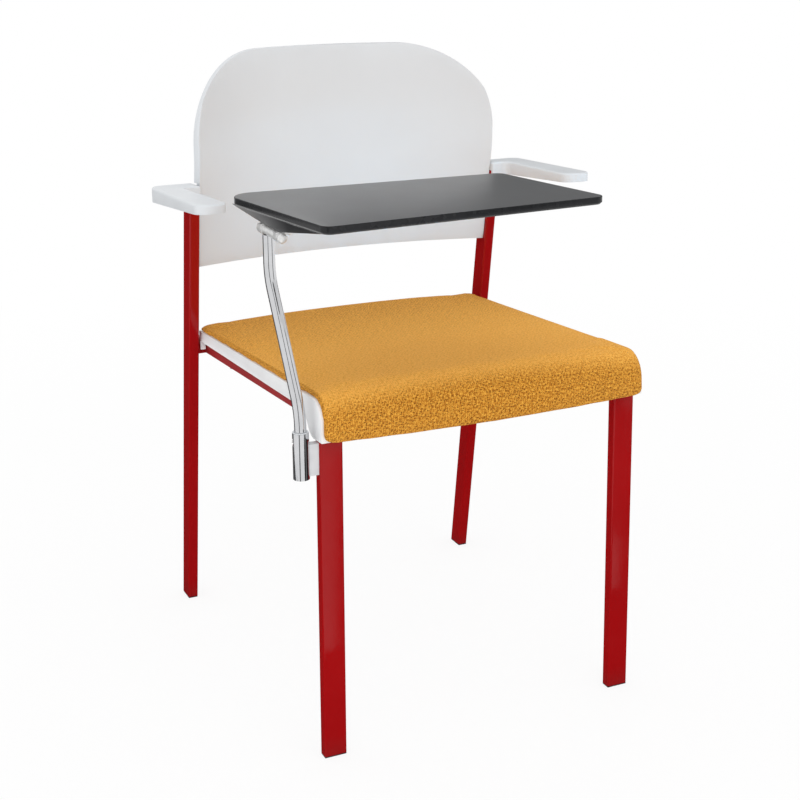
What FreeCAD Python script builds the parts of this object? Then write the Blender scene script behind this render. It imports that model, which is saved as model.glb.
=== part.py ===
import FreeCAD, Part
import math
import os
import Sketcher

doc = FreeCAD.newDocument("tablet_arm_chair")
sheet = doc.addObject("Spreadsheet::Sheet", "sizes")

# Every driving size, in millimetres or degrees. Leans and slopes are millimetres per millimetre.
# The sitter faces minus Y, the tablet is on the minus X side, and Z is up from the floor.
# Leg places are taken at seat height, and the tablet's corners are measured from the post's top.
values = [
    ("seat_width", 447.0), ("seat_depth", 476.3), ("seat_back", 216.0), ("seat_height", 459.2),
    ("seat_tilt", 3.75),
    ("tube_wide", 30.0), ("tube_thin", 15.0), ("tube_wall", 1.5), ("tube_corner", 2.5),
    ("front_leg_in", 2.96), ("front_leg_set", 11.1), ("front_leg_drop", 17.53), ("front_lean_in", 0.008),
    ("front_lean_back", 0.0067), ("rear_leg_gap", 3.6), ("rear_leg_set", 15.44), ("rear_leg_rise", 192.8),
    ("rear_lean", 0.1602), ("glide_height", 2.0), ("glide_inset", 0.5), ("glide_spigot", 8.0),
    ("glide_slack", 1.5), ("cap_height", 2.0),
    ("rail_wide", 15.0), ("rail_high", 25.0), ("rail_inset", 17.3), ("rail_drop", 11.3),
    ("rear_rail_behind", 4.7), ("front_rail_set", 0.25), ("front_rail_down", 14.5),
    ("shell_deck", 5.0), ("shell_wall", 2.5), ("lip_bend", 27.0), ("lip_drop", 50.5),
    ("rim_drop", 20.0), ("rim_drop_rear", 15.0), ("back_rim_drop", 28.0), ("rail_gap", 2.3),
    ("shell_lap", 2.0),
    ("cheek_foot", 24.0), ("cheek_bend", 22.0), ("cheek_back", 44.0), ("cheek_low", 18.0),
    ("cheek_neck", 50.0), ("cheek_high", 9.0), ("cheek_hollow", 14.0), ("cheek_end", 60.0),
    ("boss_radius", 7.0), ("seat_screw_rear", 120.0), ("seat_screw_front", -150.0),
    ("screw_radius", 2.5), ("screw_head_radius", 4.5), ("screw_head_high", 3.0), ("screw_slack", 0.05),
    ("rail_hole_slack", 0.3), ("seat_screw_end", 2.0),
    ("pad_side", 1.7), ("pad_rear", 1.0), ("pad_proud", 8.7), ("pad_bow", 15.0), ("pad_short", 0.6),
    ("pad_edge_high", 9.5), ("pad_crown", 4.0), ("pad_roll_more", 6.0), ("pad_toe", 4.0), ("pad_slack", 0.3),
    ("pad_tuck", 1.5), ("pad_rear_bend", 12.0), ("pad_rear_lean", 3.0), ("pad_ease", 8.0),
    ("back_rise", 84.8), ("back_high", 296.0), ("back_gap", 0.6), ("back_flare", 5.0),
    ("back_notch_over", 15.0), ("back_thick", 11.5), ("back_behind", 11.7), ("back_recline", 0.13),
    ("back_corner", 121.5), ("back_edge_slack", 0.4), ("back_edge_taper", 0.5),
    ("back_sag_a", 33.5), ("back_sag_b", 48.0), ("back_sag_c", 63.0), ("back_sag_d", 80.0),
    ("back_sag_e", 88.0), ("back_sag_f", 95.0), ("back_sag_g", 98.0),
    ("tab_long", 21.0), ("tab_high", 28.0), ("tab_thick", 3.0), ("tab_flange", 5.0), ("tab_low_rise", 31.0),
    ("tab_low_gap", 0.76),
    ("tab_up_rise", 76.0), ("tab_up_gap", 2.19), ("tab_screw_in", 12.0), ("tab_boss_radius", 5.5),
    ("tab_boss_long", 9.0), ("back_screw_radius", 2.0), ("back_screw_head", 4.0), ("back_screw_high", 2.5),
    ("back_screw_long", 10.0),
    ("arm_out", 46.9), ("arm_end_gap", 0.5), ("arm_inner_rear_out", 10.9), ("arm_inner_tip_out", 4.9),
    ("arm_long", 226.5), ("arm_rear_over", 4.83), ("arm_step_over", 4.17), ("arm_top_over", 16.2),
    ("arm_top_ahead", 101.8), ("arm_top_slope", 0.051), ("arm_low_under", 9.0), ("arm_low_ahead", 16.8),
    ("arm_low_slope", 0.0913), ("arm_step_bend", 12.0), ("arm_tip_inner", 20.0), ("arm_tip_outer", 20.0),
    ("arm_rear_bend", 16.0), ("arm_edge", 3.0), ("arm_stub_long", 40.0), ("arm_stub_slack", 0.5),
    ("arm_leg_slack", 0.2),
    ("socket_out", 21.36), ("socket_under", 81.2), ("socket_high", 58.5), ("sleeve_wall", 1.8),
    ("liner_wall", 0.85), ("liner_slack", 0.05), ("plug_high", 8.0),
    ("slot_down", 16.0), ("slot_high", 9.0), ("slot_start", 61.5), ("slot_turn", 127.0),
    ("plate_up", 3.0), ("plate_high", 40.0), ("plate_thick", 10.0), ("weld_gap", 0.05),
    ("post_radius", 7.25), ("post_wall", 1.5), ("post_slack", 0.05), ("post_bend_up", 24.5),
    ("post_rise", 146.0), ("post_angle", 32.1), ("post_bend_radius", 65.0), ("post_saddle", 4.3),
    ("pin_radius", 2.0), ("pin_slack", 0.02), ("pin_angle", 150.0), ("pin_proud", 0.2), ("pin_root", 3.0),
    ("bar_radius", 5.5), ("bar_ahead", 40.9), ("bar_behind", 17.1), ("bar_slack", 0.05),
    ("bearing_wall", 0.85), ("barrel_gap", 0.3), ("bearing_long", 14.0), ("bearing_depth", 7.0),
    ("bearing_end", 0.3),
    ("foot_thick", 3.0), ("foot_long", 10.0), ("foot_reach", 18.0), ("foot_screw", 13.0),
    ("small_screw", 1.5), ("small_head", 3.0), ("small_head_high", 1.8), ("small_screw_long", 10.0),
    ("tablet_rise", 235.8), ("tablet_thick", 10.0), ("left_rear_x", -26.4), ("left_rear_y", 86.2),
    ("right_rear_x", 354.6), ("right_rear_y", 75.6), ("right_front_x", 393.8), ("right_front_y", -130.2),
    ("left_front_x", 11.9), ("left_front_y", -154.8), ("tablet_corner", 13.0), ("tablet_outer_corner", 29.0),
    ("tablet_edge", 1.2), ("tablet_under_edge", 2.5),
    ("wedge_high", 15.5), ("wedge_over_left", 1.6), ("wedge_over_right", 36.9), ("wedge_over_end", 3.0),
    ("wedge_inset", 3.5), ("wedge_short_rear", 14.1), ("wedge_short_front", 10.9), ("wedge_top_right", 53.9),
    ("tablet_screw_in", 28.9), ("tablet_screw_a", 4.1), ("tablet_screw_b", -30.9), ("tablet_screw_tip", 4.0),
    ("tablet_screw_radius", 2.0), ("tablet_screw_head", 4.0), ("tablet_screw_high", 2.5),
]


class Size:
    # A number together with the sheet expression that gives it.
    def __init__(self, number, text):
        self.number = float(number)
        self.text = text

    def __add__(self, other):
        other = plain(other)
        return Size(self.number + other.number, "(" + self.text + " + " + other.text + ")")

    def __radd__(self, other):
        return plain(other) + self

    def __sub__(self, other):
        other = plain(other)
        return Size(self.number - other.number, "(" + self.text + " - " + other.text + ")")

    def __rsub__(self, other):
        return plain(other) - self

    def __mul__(self, other):
        other = plain(other)
        return Size(self.number * other.number, "(" + self.text + " * " + other.text + ")")

    def __rmul__(self, other):
        return plain(other) * self

    def __truediv__(self, other):
        other = plain(other)
        return Size(self.number / other.number, "(" + self.text + " / " + other.text + ")")

    def __neg__(self):
        return Size(-self.number, "(-1 * " + self.text + ")")


def plain(number):
    if isinstance(number, Size):
        return number
    return Size(number, "(" + repr(float(number)) + ")")


def sine(angle):
    return Size(math.sin(math.radians(angle.number)), "sin(" + angle.text + ")")


def cosine(angle):
    return Size(math.cos(math.radians(angle.number)), "cos(" + angle.text + ")")


def tangent(angle):
    return Size(math.tan(math.radians(angle.number)), "tan(" + angle.text + ")")


class Sizes:
    pass


s = Sizes()
for row, (alias, number) in enumerate(values, start=1):
    sheet.set("A" + str(row), alias)
    sheet.set("B" + str(row), repr(number))
    sheet.setAlias("B" + str(row), alias)
    setattr(s, alias, Size(number, "sizes." + alias))
doc.recompute()

# Places that follow from the sizes above.
slope = tangent(s.seat_tilt)
level = cosine(s.seat_tilt)
s.shell_half = s.seat_width / 2
s.shell_back = s.seat_back + 0.0
s.lip_front = s.seat_back - s.seat_depth
leg_run = s.seat_height - s.glide_height
s.front_leg_x = s.shell_half - s.front_leg_in
s.front_leg_y = s.lip_front + s.front_leg_set
s.front_foot_x = s.front_leg_x + s.front_lean_in * leg_run
s.front_foot_y = s.front_leg_y - s.front_lean_back * leg_run
s.front_leg_top = s.seat_height - s.front_leg_y * slope - s.front_leg_drop
s.leg_inner = s.shell_half + s.rear_leg_gap
s.rear_foot_x = s.leg_inner + s.tube_thin
s.rear_foot_y = s.seat_back - s.rear_leg_set + s.rear_lean * leg_run
s.rear_leg_top = s.seat_height + s.rear_leg_rise
s.leg_top_front = s.seat_back - s.rear_leg_set - s.rear_lean * s.rear_leg_rise
s.leg_top_rear = s.leg_top_front + s.tube_wide
s.rail_middle_x = s.shell_half - s.rail_inset
s.rear_rail_y = s.seat_back + s.rear_rail_behind
s.rail_top = s.seat_height - s.rear_rail_y * slope - s.rail_drop / level
s.rear_rail_z = s.rail_top - s.rail_high / 2
s.front_rail_z = s.front_leg_top - s.front_rail_down
s.front_rail_y = s.front_foot_y + s.front_lean_back * (s.front_rail_z - s.glide_height) + s.front_rail_set
s.pad_half = s.shell_half - s.pad_side
s.pad_back = s.seat_back - s.pad_rear
s.pad_front = s.lip_front - s.pad_proud
s.pad_bottom = s.lip_drop - s.pad_short
s.pad_roll = s.lip_bend + s.pad_roll_more
s.back_bottom = s.seat_height + s.back_rise
s.back_top = s.back_bottom + s.back_high
s.back_half = s.leg_inner - s.back_gap
s.back_notch = s.rear_leg_top + s.back_notch_over
s.back_start_y = s.seat_back + s.back_behind
s.arm_outer = s.rear_foot_x + s.arm_out
s.arm_inner_end = s.leg_inner + s.arm_end_gap
s.arm_inner_rear = s.rear_foot_x + s.arm_inner_rear_out
s.arm_inner_tip = s.rear_foot_x + s.arm_inner_tip_out
s.arm_rear_y = s.leg_top_rear + s.arm_rear_over
s.arm_step_y = s.leg_top_front - s.arm_step_over
s.arm_tip_y = s.arm_rear_y - s.arm_long
s.arm_top_z = s.rear_leg_top + s.arm_top_over
s.arm_top_y = s.arm_rear_y - s.arm_top_ahead
s.arm_low_z = s.rear_leg_top - s.arm_low_under
s.arm_low_y = s.arm_rear_y - s.arm_low_ahead
s.socket_bore = s.post_radius + s.post_slack + s.liner_wall + s.liner_slack
s.socket_radius = s.socket_bore + s.sleeve_wall
s.socket_x = s.front_leg_x + s.socket_out
s.socket_y = s.front_leg_y + s.tube_thin / 2
s.socket_low = s.seat_height - s.socket_under
s.socket_top = s.socket_low + s.socket_high
s.slot_low = s.socket_top - s.slot_down
s.plate_low = s.socket_low + s.plate_up
s.plate_top = s.plate_low + s.plate_high
s.pin_reach = s.socket_radius + s.pin_proud
s.tablet_top = s.seat_height + s.tablet_rise
s.wedge_low = s.tablet_top - s.tablet_thick - s.wedge_high
s.bearing_radius = s.bar_radius + s.bar_slack + s.bearing_wall
s.bar_z = s.wedge_low - s.bearing_radius - s.barrel_gap
s.post_bend_low = s.socket_top + s.post_bend_up
s.post_bend_high = s.post_bend_low + s.post_rise
s.post_y = s.socket_y + s.post_rise * tangent(s.post_angle)
s.post_top = s.bar_z - s.post_saddle
s.bar_front = s.post_y - s.bar_ahead
s.bar_rear = s.post_y + s.bar_behind
s.tablet_left_rear_x = s.left_rear_x - s.socket_x
s.tablet_left_rear_y = s.left_rear_y + s.post_y
s.tablet_right_rear_x = s.right_rear_x - s.socket_x
s.tablet_right_rear_y = s.right_rear_y + s.post_y
s.tablet_right_front_x = s.right_front_x - s.socket_x
s.tablet_right_front_y = s.right_front_y + s.post_y
s.tablet_left_front_x = s.left_front_x - s.socket_x
s.tablet_left_front_y = s.left_front_y + s.post_y
s.wedge_left = -1 * s.socket_x - s.wedge_over_left
s.wedge_right = s.wedge_over_right - s.socket_x
s.wedge_rear = s.bar_rear + s.wedge_over_end
s.wedge_front = s.bar_front - s.wedge_over_end
s.wedge_top_rear = s.tablet_left_rear_y - s.wedge_short_rear
s.wedge_top_front = s.tablet_left_front_y + s.wedge_short_front



def bind(item, path, size):
    item.setExpression(path, plain(size).text)


def move(item, x, y, z):
    x = plain(x)
    y = plain(y)
    z = plain(z)
    spot = FreeCAD.Vector(x.number, y.number, z.number)
    item.Placement = FreeCAD.Placement(spot, item.Placement.Rotation)
    bind(item, "Placement.Base.x", x)
    bind(item, "Placement.Base.y", y)
    bind(item, "Placement.Base.z", z)


def tilt(item):
    # Puts a piece drawn flat about the seat's datum into the sloping seat frame.
    turn = FreeCAD.Rotation(FreeCAD.Vector(-1, 0, 0), s.seat_tilt.number)
    item.Placement = FreeCAD.Placement(FreeCAD.Vector(0, 0, s.seat_height.number), turn)
    bind(item, "Placement.Base.z", s.seat_height)
    bind(item, "Placement.Rotation.Angle", s.seat_tilt)


def fix(sketch, geometry, end, x, y):
    for kind, size, axis in (("DistanceX", x, -2), ("DistanceY", y, -1)):
        if abs(size.number) < 1e-9:
            sketch.addConstraint(Sketcher.Constraint("PointOnObject", geometry, end, axis))
            continue
        index = sketch.addConstraint(Sketcher.Constraint(kind, -1, 1, geometry, end, size.number))
        sketch.setExpression("Constraints[" + str(index) + "]", size.text)


def outline(sketch, steps):
    # Each step is x, y and, for an arc to the next point, its radius and turn (1 left, -1 right).
    first = sketch.GeometryCount
    count = len(steps)
    ends = []
    for i, step in enumerate(steps):
        x0 = plain(step[0]).number
        y0 = plain(step[1]).number
        x1 = plain(steps[(i + 1) % count][0]).number
        y1 = plain(steps[(i + 1) % count][1]).number
        start = FreeCAD.Vector(x0, y0, 0)
        stop = FreeCAD.Vector(x1, y1, 0)
        if len(step) == 2:
            sketch.addGeometry(Part.LineSegment(start, stop), False)
            ends.append((1, 2))
            continue
        radius = plain(step[2]).number
        turn = step[3]
        half = (stop - start).Length / 2
        rise = math.sqrt(max(radius * radius - half * half, 0.0))
        across = FreeCAD.Vector(-(y1 - y0), x1 - x0, 0).normalize()
        middle = (start + stop) * 0.5 + across * (rise * turn)
        circle = Part.Circle(middle, FreeCAD.Vector(0, 0, 1), radius)
        begin = math.atan2(y0 - middle.y, x0 - middle.x)
        finish = math.atan2(y1 - middle.y, x1 - middle.x)
        if turn > 0:
            sketch.addGeometry(Part.ArcOfCircle(circle, begin, finish), False)
            ends.append((1, 2))
        else:
            sketch.addGeometry(Part.ArcOfCircle(circle, finish, begin), False)
            ends.append((2, 1))
    for i in range(count):
        after = (i + 1) % count
        joint = Sketcher.Constraint("Coincident", first + i, ends[i][1], first + after, ends[after][0])
        sketch.addConstraint(joint)
    for i, step in enumerate(steps):
        fix(sketch, first + i, ends[i][0], plain(step[0]), plain(step[1]))
        if len(step) > 2:
            radius = plain(step[2])
            index = sketch.addConstraint(Sketcher.Constraint("Radius", first + i, radius.number))
            sketch.setExpression("Constraints[" + str(index) + "]", radius.text)


def ring(sketch, x, y, radius):
    x = plain(x)
    y = plain(y)
    radius = plain(radius)
    spot = FreeCAD.Vector(x.number, y.number, 0)
    index = sketch.addGeometry(Part.Circle(spot, FreeCAD.Vector(0, 0, 1), radius.number), False)
    fix(sketch, index, 3, x, y)
    size = sketch.addConstraint(Sketcher.Constraint("Radius", index, radius.number))
    sketch.setExpression("Constraints[" + str(size) + "]", radius.text)


def rounded(sketch, x0, y0, x1, y1, radius):
    outline(sketch, [
        (x0 + radius, y0), (x1 - radius, y0, radius, 1), (x1, y0 + radius), (x1, y1 - radius, radius, 1),
        (x1 - radius, y1), (x0 + radius, y1, radius, 1), (x0, y1 - radius), (x0, y0 + radius, radius, 1)])


def tube_section(sketch, x0, y0, x1, y1):
    rounded(sketch, x0, y0, x1, y1, s.tube_corner)
    wall = s.tube_wall
    rounded(sketch, x0 + wall, y0 + wall, x1 - wall, y1 - wall, s.tube_corner - wall)


def new_body(name):
    body = doc.addObject("PartDesign::Body", name)
    body.Label = name
    return body


def new_sketch(body, plane, offset=None):
    sketch = body.newObject("Sketcher::SketchObject", body.Name + "_sketch")
    for item in body.Origin.OriginFeatures:
        if item.Role == plane:
            sketch.AttachmentSupport = [(item, "")]
    sketch.MapMode = "FlatFace"
    if offset is not None:
        offset = plain(offset)
        sketch.AttachmentOffset = FreeCAD.Placement(FreeCAD.Vector(0, 0, offset.number), FreeCAD.Rotation())
        bind(sketch, "AttachmentOffset.Base.z", offset)
    return sketch


def pad(body, sketch, length, both=False, along=None):
    item = body.newObject("PartDesign::Pad", body.Name + "_pad")
    item.Profile = sketch
    item.Length = plain(length).number
    bind(item, "Length", length)
    item.Midplane = both
    if along is not None:
        item.UseCustomVector = True
        item.Direction = FreeCAD.Vector(*[plain(part).number for part in along])
        bind(item, "Direction.x", along[0])
        bind(item, "Direction.y", along[1])
        bind(item, "Direction.z", along[2])
        item.AlongSketchNormal = True
    sketch.Visibility = False
    return item


def pocket(body, sketch, length, both=False):
    item = body.newObject("PartDesign::Pocket", body.Name + "_pocket")
    item.Profile = sketch
    item.Length = plain(length).number
    bind(item, "Length", length)
    item.Midplane = both
    sketch.Visibility = False
    return item


turns = {
    "z": FreeCAD.Rotation(),
    "y": FreeCAD.Rotation(FreeCAD.Vector(1, 0, 0), -90),
}


def cylinder(name, radius, height, x, y, z, axis="z"):
    item = doc.addObject("Part::Cylinder", name)
    item.Radius = plain(radius).number
    item.Height = plain(height).number
    bind(item, "Radius", radius)
    bind(item, "Height", height)
    item.Placement = FreeCAD.Placement(FreeCAD.Vector(), turns[axis])
    move(item, x, y, z)
    return item


def box(name, x, y, z, length, width, height):
    item = doc.addObject("Part::Box", name)
    for path, size in (("Length", length), ("Width", width), ("Height", height)):
        setattr(item, path, plain(size).number)
        bind(item, path, size)
    move(item, x, y, z)
    return item


def fuse(name, shapes):
    item = doc.addObject("Part::MultiFuse", name)
    item.Shapes = shapes
    return item


def cut(name, base, tool):
    item = doc.addObject("Part::Cut", name)
    item.Base = base
    item.Tool = tool
    return item


def group(name, items):
    item = doc.addObject("Part::Compound", name)
    item.Links = items
    return item


pieces = {}


def keep(name, item):
    item.Label = name
    pieces[name] = item


# Four legs of rectangular tube. Positions are for the floor; each leg leans evenly as it rises.
def front_leg(side, sign):
    body = new_body(side + "_front_leg")
    sketch = new_sketch(body, "XY_Plane", s.glide_height)
    outer = s.front_foot_x * sign
    inner = (s.front_foot_x - s.tube_wide) * sign
    low, high = (outer, inner) if sign < 0 else (inner, outer)
    tube_section(sketch, low, s.front_foot_y, high, s.front_foot_y + s.tube_thin)
    lean = (-sign * s.front_lean_in, s.front_lean_back, 1.0)
    pad(body, sketch, s.front_leg_top - s.glide_height, along=lean)
    keep(side + "_front_leg", body)


def rear_leg(side, sign):
    body = new_body(side + "_rear_leg")
    sketch = new_sketch(body, "XY_Plane", s.glide_height)
    outer = s.rear_foot_x * sign
    inner = (s.rear_foot_x - s.tube_thin) * sign
    low, high = (outer, inner) if sign < 0 else (inner, outer)
    tube_section(sketch, low, s.rear_foot_y, high, s.rear_foot_y + s.tube_wide)
    pad(body, sketch, s.rear_leg_top - s.glide_height, along=(0.0, -1 * s.rear_lean, 1.0))
    keep(side + "_rear_leg", body)


for side, sign in (("right", -1), ("left", 1)):
    front_leg(side, sign)
    rear_leg(side, sign)


# Plastic glides in the four tube ends, and flat caps on the front legs' tops.
def glide(name, x0, y0, wide, deep):
    flange = box(name + "_flange", x0 + s.glide_inset, y0 + s.glide_inset, 0.0,
                 wide - 2 * s.glide_inset, deep - 2 * s.glide_inset, s.glide_height)
    gap = s.tube_wall + s.glide_slack
    spigot = box(name + "_spigot", x0 + gap, y0 + gap, s.glide_height * 0.5,
                 wide - 2 * gap, deep - 2 * gap, s.glide_height * 0.5 + s.glide_spigot)
    return fuse(name, [flange, spigot])


keep("foot_glides", group("foot_glides", [
    glide("glide_a", -1 * s.front_foot_x, s.front_foot_y, s.tube_wide, s.tube_thin),
    glide("glide_b", s.front_foot_x - s.tube_wide, s.front_foot_y, s.tube_wide, s.tube_thin),
    glide("glide_c", -1 * s.rear_foot_x, s.rear_foot_y, s.tube_thin, s.tube_wide),
    glide("glide_d", s.rear_foot_x - s.tube_thin, s.rear_foot_y, s.tube_thin, s.tube_wide)]))

cap_rise = s.front_leg_top - s.glide_height
cap_y = s.front_foot_y + s.front_lean_back * cap_rise + s.glide_inset
cap_wide = s.tube_wide - 2 * s.glide_inset
cap_deep = s.tube_thin - 2 * s.glide_inset
cap_x = s.front_foot_x - s.front_lean_in * cap_rise - s.glide_inset
keep("front_leg_caps", group("front_leg_caps", [
    box("cap_a", -1 * cap_x, cap_y, s.front_leg_top, cap_wide, cap_deep, s.cap_height),
    box("cap_b", cap_x - cap_wide, cap_y, s.front_leg_top, cap_wide, cap_deep, s.cap_height)]))


# Seat rails: two under the seat's sides, joined by a cross rail at each end.
rail_start = s.rear_rail_y
rail_stop = s.front_foot_y + s.tube_thin + s.front_lean_back * s.front_leg_top


def seat_screw_tools(name, radius, low, high, head, head_high):
    items = []
    for i, x in enumerate((-1 * s.rail_middle_x, s.rail_middle_x)):
        for j, y in enumerate((s.seat_screw_rear, s.seat_screw_front)):
            label = name + "_" + str(i) + str(j)
            shank = cylinder(label + "_shank", radius, high - low, x, y, low)
            if head is None:
                items.append(shank)
                continue
            top = cylinder(label + "_head", head, head_high, x, y, low - head_high)
            items.append(fuse(label, [shank, top]))
    return items


rail_low = -1 * s.rail_drop - s.rail_high * level


def side_rail(side, sign):
    body = new_body(side + "_rail_tube")
    sketch = new_sketch(body, "XZ_Plane", -1 * rail_start)
    middle = s.rail_middle_x * sign
    half = s.rail_wide / 2
    tube_section(sketch, middle - half, s.rail_top - s.rail_high, middle + half, s.rail_top)
    pad(body, sketch, rail_start - rail_stop, along=(0.0, -1.0, slope))
    holes = group(side + "_rail_holes", seat_screw_tools(
        side + "_rail_hole", s.screw_radius + s.rail_hole_slack, rail_low - s.rail_high,
        plain(0.0), None, None))
    tilt(holes)
    keep(side + "_side_rail", cut(side + "_side_rail", body, holes))


side_rail("right", -1)
side_rail("left", 1)


def cross_rail(name, y0, z_middle, half_length):
    body = new_body(name)
    sketch = new_sketch(body, "YZ_Plane")
    half = s.rail_high / 2
    tube_section(sketch, y0, z_middle - half, y0 + s.rail_wide, z_middle + half)
    pad(body, sketch, half_length * 2, both=True)
    keep(name, body)


front_inner = s.front_foot_x - s.tube_wide - s.front_lean_in * (s.front_rail_z + s.rail_high / 2)
cross_rail("front_cross_rail", s.front_rail_y, s.front_rail_z, front_inner)
cross_rail("rear_cross_rail", s.rear_rail_y, s.rear_rail_z, s.rear_foot_x - s.tube_thin)


# Moulded seat shell, drawn flat: deck with a rolled front lip, hanging rims, and screw bosses.
shell = new_body("seat_shell")
sketch = new_sketch(shell, "YZ_Plane")
bend_y = s.lip_front + s.lip_bend
outline(sketch, [
    (s.shell_back, 0.0), (bend_y, 0.0, s.lip_bend, 1), (s.lip_front, -1 * s.lip_bend),
    (s.lip_front, -1 * s.lip_drop), (s.lip_front + s.shell_deck, -1 * s.lip_drop),
    (s.lip_front + s.shell_deck, -1 * s.lip_bend, s.lip_bend - s.shell_deck, -1),
    (bend_y, -1 * s.shell_deck), (s.shell_back, -1 * s.shell_deck)])
pad(shell, sketch, s.shell_half * 2, both=True)
for start in (s.shell_half - s.shell_wall, -1 * s.shell_half):
    sketch = new_sketch(shell, "YZ_Plane", start)
    lap = s.shell_lap
    rear = s.shell_back - lap
    outline(sketch, [
        (rear, -1 * lap), (bend_y, -1 * lap, s.lip_bend - lap, 1), (s.lip_front + lap, -1 * s.lip_bend),
        (s.lip_front + lap, -1 * s.lip_drop), (s.lip_front + s.cheek_foot, -1 * s.lip_drop, s.cheek_bend, 1),
        (s.lip_front + s.cheek_back, -1 * s.rim_drop - s.cheek_low),
        (s.lip_front + s.cheek_neck, -1 * s.rim_drop - s.cheek_high, s.cheek_hollow, -1),
        (s.lip_front + s.cheek_end, -1 * s.rim_drop), (rear, -1 * s.rim_drop_rear)])
    pad(shell, sketch, s.shell_wall)
sketch = new_sketch(shell, "XZ_Plane", -1 * s.shell_back)
half = s.shell_half
rail_out = s.rail_middle_x + s.rail_wide / 2 + s.rail_gap
rail_in = s.rail_middle_x - s.rail_wide / 2 - s.rail_gap
drop = -1 * s.back_rim_drop
door = -1 * s.rail_drop + s.rail_gap
outline(sketch, [
    (-1 * half, -1 * s.shell_lap), (-1 * half, drop), (-1 * rail_out, drop), (-1 * rail_out, door),
    (-1 * rail_in, door), (-1 * rail_in, drop), (rail_in, drop), (rail_in, door), (rail_out, door),
    (rail_out, drop), (half, drop), (half, -1 * s.shell_lap)])
pad(shell, sketch, s.shell_wall)
sketch = new_sketch(shell, "XY_Plane", -1 * s.rail_drop)
for x in (-1 * s.rail_middle_x, s.rail_middle_x):
    for y in (s.seat_screw_rear, s.seat_screw_front):
        ring(sketch, x, y, s.boss_radius)
pad(shell, sketch, s.rail_drop - s.shell_lap)
tilt(shell)
shell_holes = group("shell_holes", seat_screw_tools(
    "shell_hole", s.screw_radius + s.screw_slack, -1 * s.rail_drop - 1.0, -1 * s.seat_screw_end + 0.5,
    None, None))
tilt(shell_holes)
keep("seat_shell", cut("seat_shell_drilled", shell, shell_holes))

seat_screws = group("seat_screws", seat_screw_tools(
    "seat_screw", s.screw_radius, rail_low, -1 * s.seat_screw_end, s.screw_head_radius, s.screw_head_high))
tilt(seat_screws)
keep("seat_screws", seat_screws)


# Upholstered seat pad: crowned top, drawn-in sides and a front that rolls down over the lip.
def pad_section(name, x, high, front, back):
    sketch = doc.addObject("Sketcher::SketchObject", name)
    turn = FreeCAD.Rotation(FreeCAD.Vector(1, 1, 1), 120)
    sketch.Placement = FreeCAD.Placement(FreeCAD.Vector(), turn)
    move(sketch, x, 0.0, 0.0)
    inner = s.lip_front - s.pad_slack
    roll = s.pad_roll
    toe = s.pad_toe
    outline(sketch, [
        (back - s.pad_tuck, 0.0, s.pad_rear_bend, 1), (back - s.pad_rear_lean, high),
        (front + roll, high, roll, 1), (front, high - roll),
        (front, -1 * s.pad_bottom + toe, toe, 1), (front + toe, -1 * s.pad_bottom),
        (inner, -1 * s.pad_bottom),
        (inner, -1 * s.lip_bend, s.lip_bend + s.pad_slack, -1), (bend_y, s.pad_slack),
        (bend_y + s.pad_ease, 0.0)])
    sketch.Visibility = False
    return sketch


# Each row is the distance in from the side, the share of the edge height and of the crown, the share
# of the front bow, and how far the rear edge draws in.
rows = [
    (0.0, 0.5, 0.0, -0.2, 1.6), (2.5, 0.8, 0.0, -0.05, 0.6), (9.0, 0.97, 0.0, 0.08, 0.1),
    (21.0, 1.0, 0.1, 0.18, 0.0), (61.0, 1.0, 0.4, 0.48, 0.0), (111.0, 1.0, 0.72, 0.75, 0.0),
    (166.0, 1.0, 0.93, 0.94, 0.0)]
pad_sections = []
for i, (inset, high, crown, bow, back) in enumerate(rows):
    top = s.pad_edge_high * high + s.pad_crown * crown
    reach = s.pad_front - s.pad_bow * bow
    pad_sections.append(pad_section(
        "pad_section_right_" + str(i), inset - s.pad_half, top, reach, s.pad_back - back))
pad_sections.append(pad_section(
    "pad_section_middle", plain(0.0), s.pad_edge_high + s.pad_crown, s.pad_front - s.pad_bow, s.pad_back))
for i, (inset, high, crown, bow, back) in reversed(list(enumerate(rows))):
    top = s.pad_edge_high * high + s.pad_crown * crown
    reach = s.pad_front - s.pad_bow * bow
    pad_sections.append(pad_section(
        "pad_section_left_" + str(i), s.pad_half - inset, top, reach, s.pad_back - back))
seat_pad = doc.addObject("Part::Loft", "seat_pad")
seat_pad.Sections = pad_sections
seat_pad.Solid = True
seat_pad.Ruled = True
tilt(seat_pad)
keep("seat_pad", seat_pad)


# Backrest: level arcs that deepen with height, trimmed to an arched outline, with screw bosses behind.
rise = s.back_top - s.back_bottom + 6.0


def back_section(name, share, sag):
    sketch = doc.addObject("Sketcher::SketchObject", name)
    height = rise * share
    move(sketch, 0.0, 0.0, s.back_bottom + height)
    middle = s.back_start_y + s.back_recline * height
    front = s.back_half
    rear = s.back_half + s.back_flare
    edge = middle - sag
    behind = edge + s.back_thick - s.back_flare * 0.2
    deep = behind * -1 + middle + s.back_thick
    front_radius = (front * front + sag * sag) / (2 * sag)
    rear_radius = (rear * rear + deep * deep) / (2 * deep)
    outline(sketch, [
        (-1 * front, edge, front_radius, -1), (front, edge),
        (rear, behind, rear_radius, 1), (-1 * rear, behind)])
    sketch.Visibility = False
    return sketch


shares = [0.0, 0.1523, 0.3179, 0.4834, 0.6490, 0.8146, 1.0]
sags = [s.back_sag_a, s.back_sag_b, s.back_sag_c, s.back_sag_d, s.back_sag_e, s.back_sag_f, s.back_sag_g]
back_sections = []
for i, (share, sag) in enumerate(zip(shares, sags)):
    back_sections.append(back_section("back_section_" + str(i), share, sag))
back_loft = doc.addObject("Part::Loft", "back_loft")
back_loft.Sections = back_sections
back_loft.Solid = True
back_loft.Ruled = False

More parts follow.
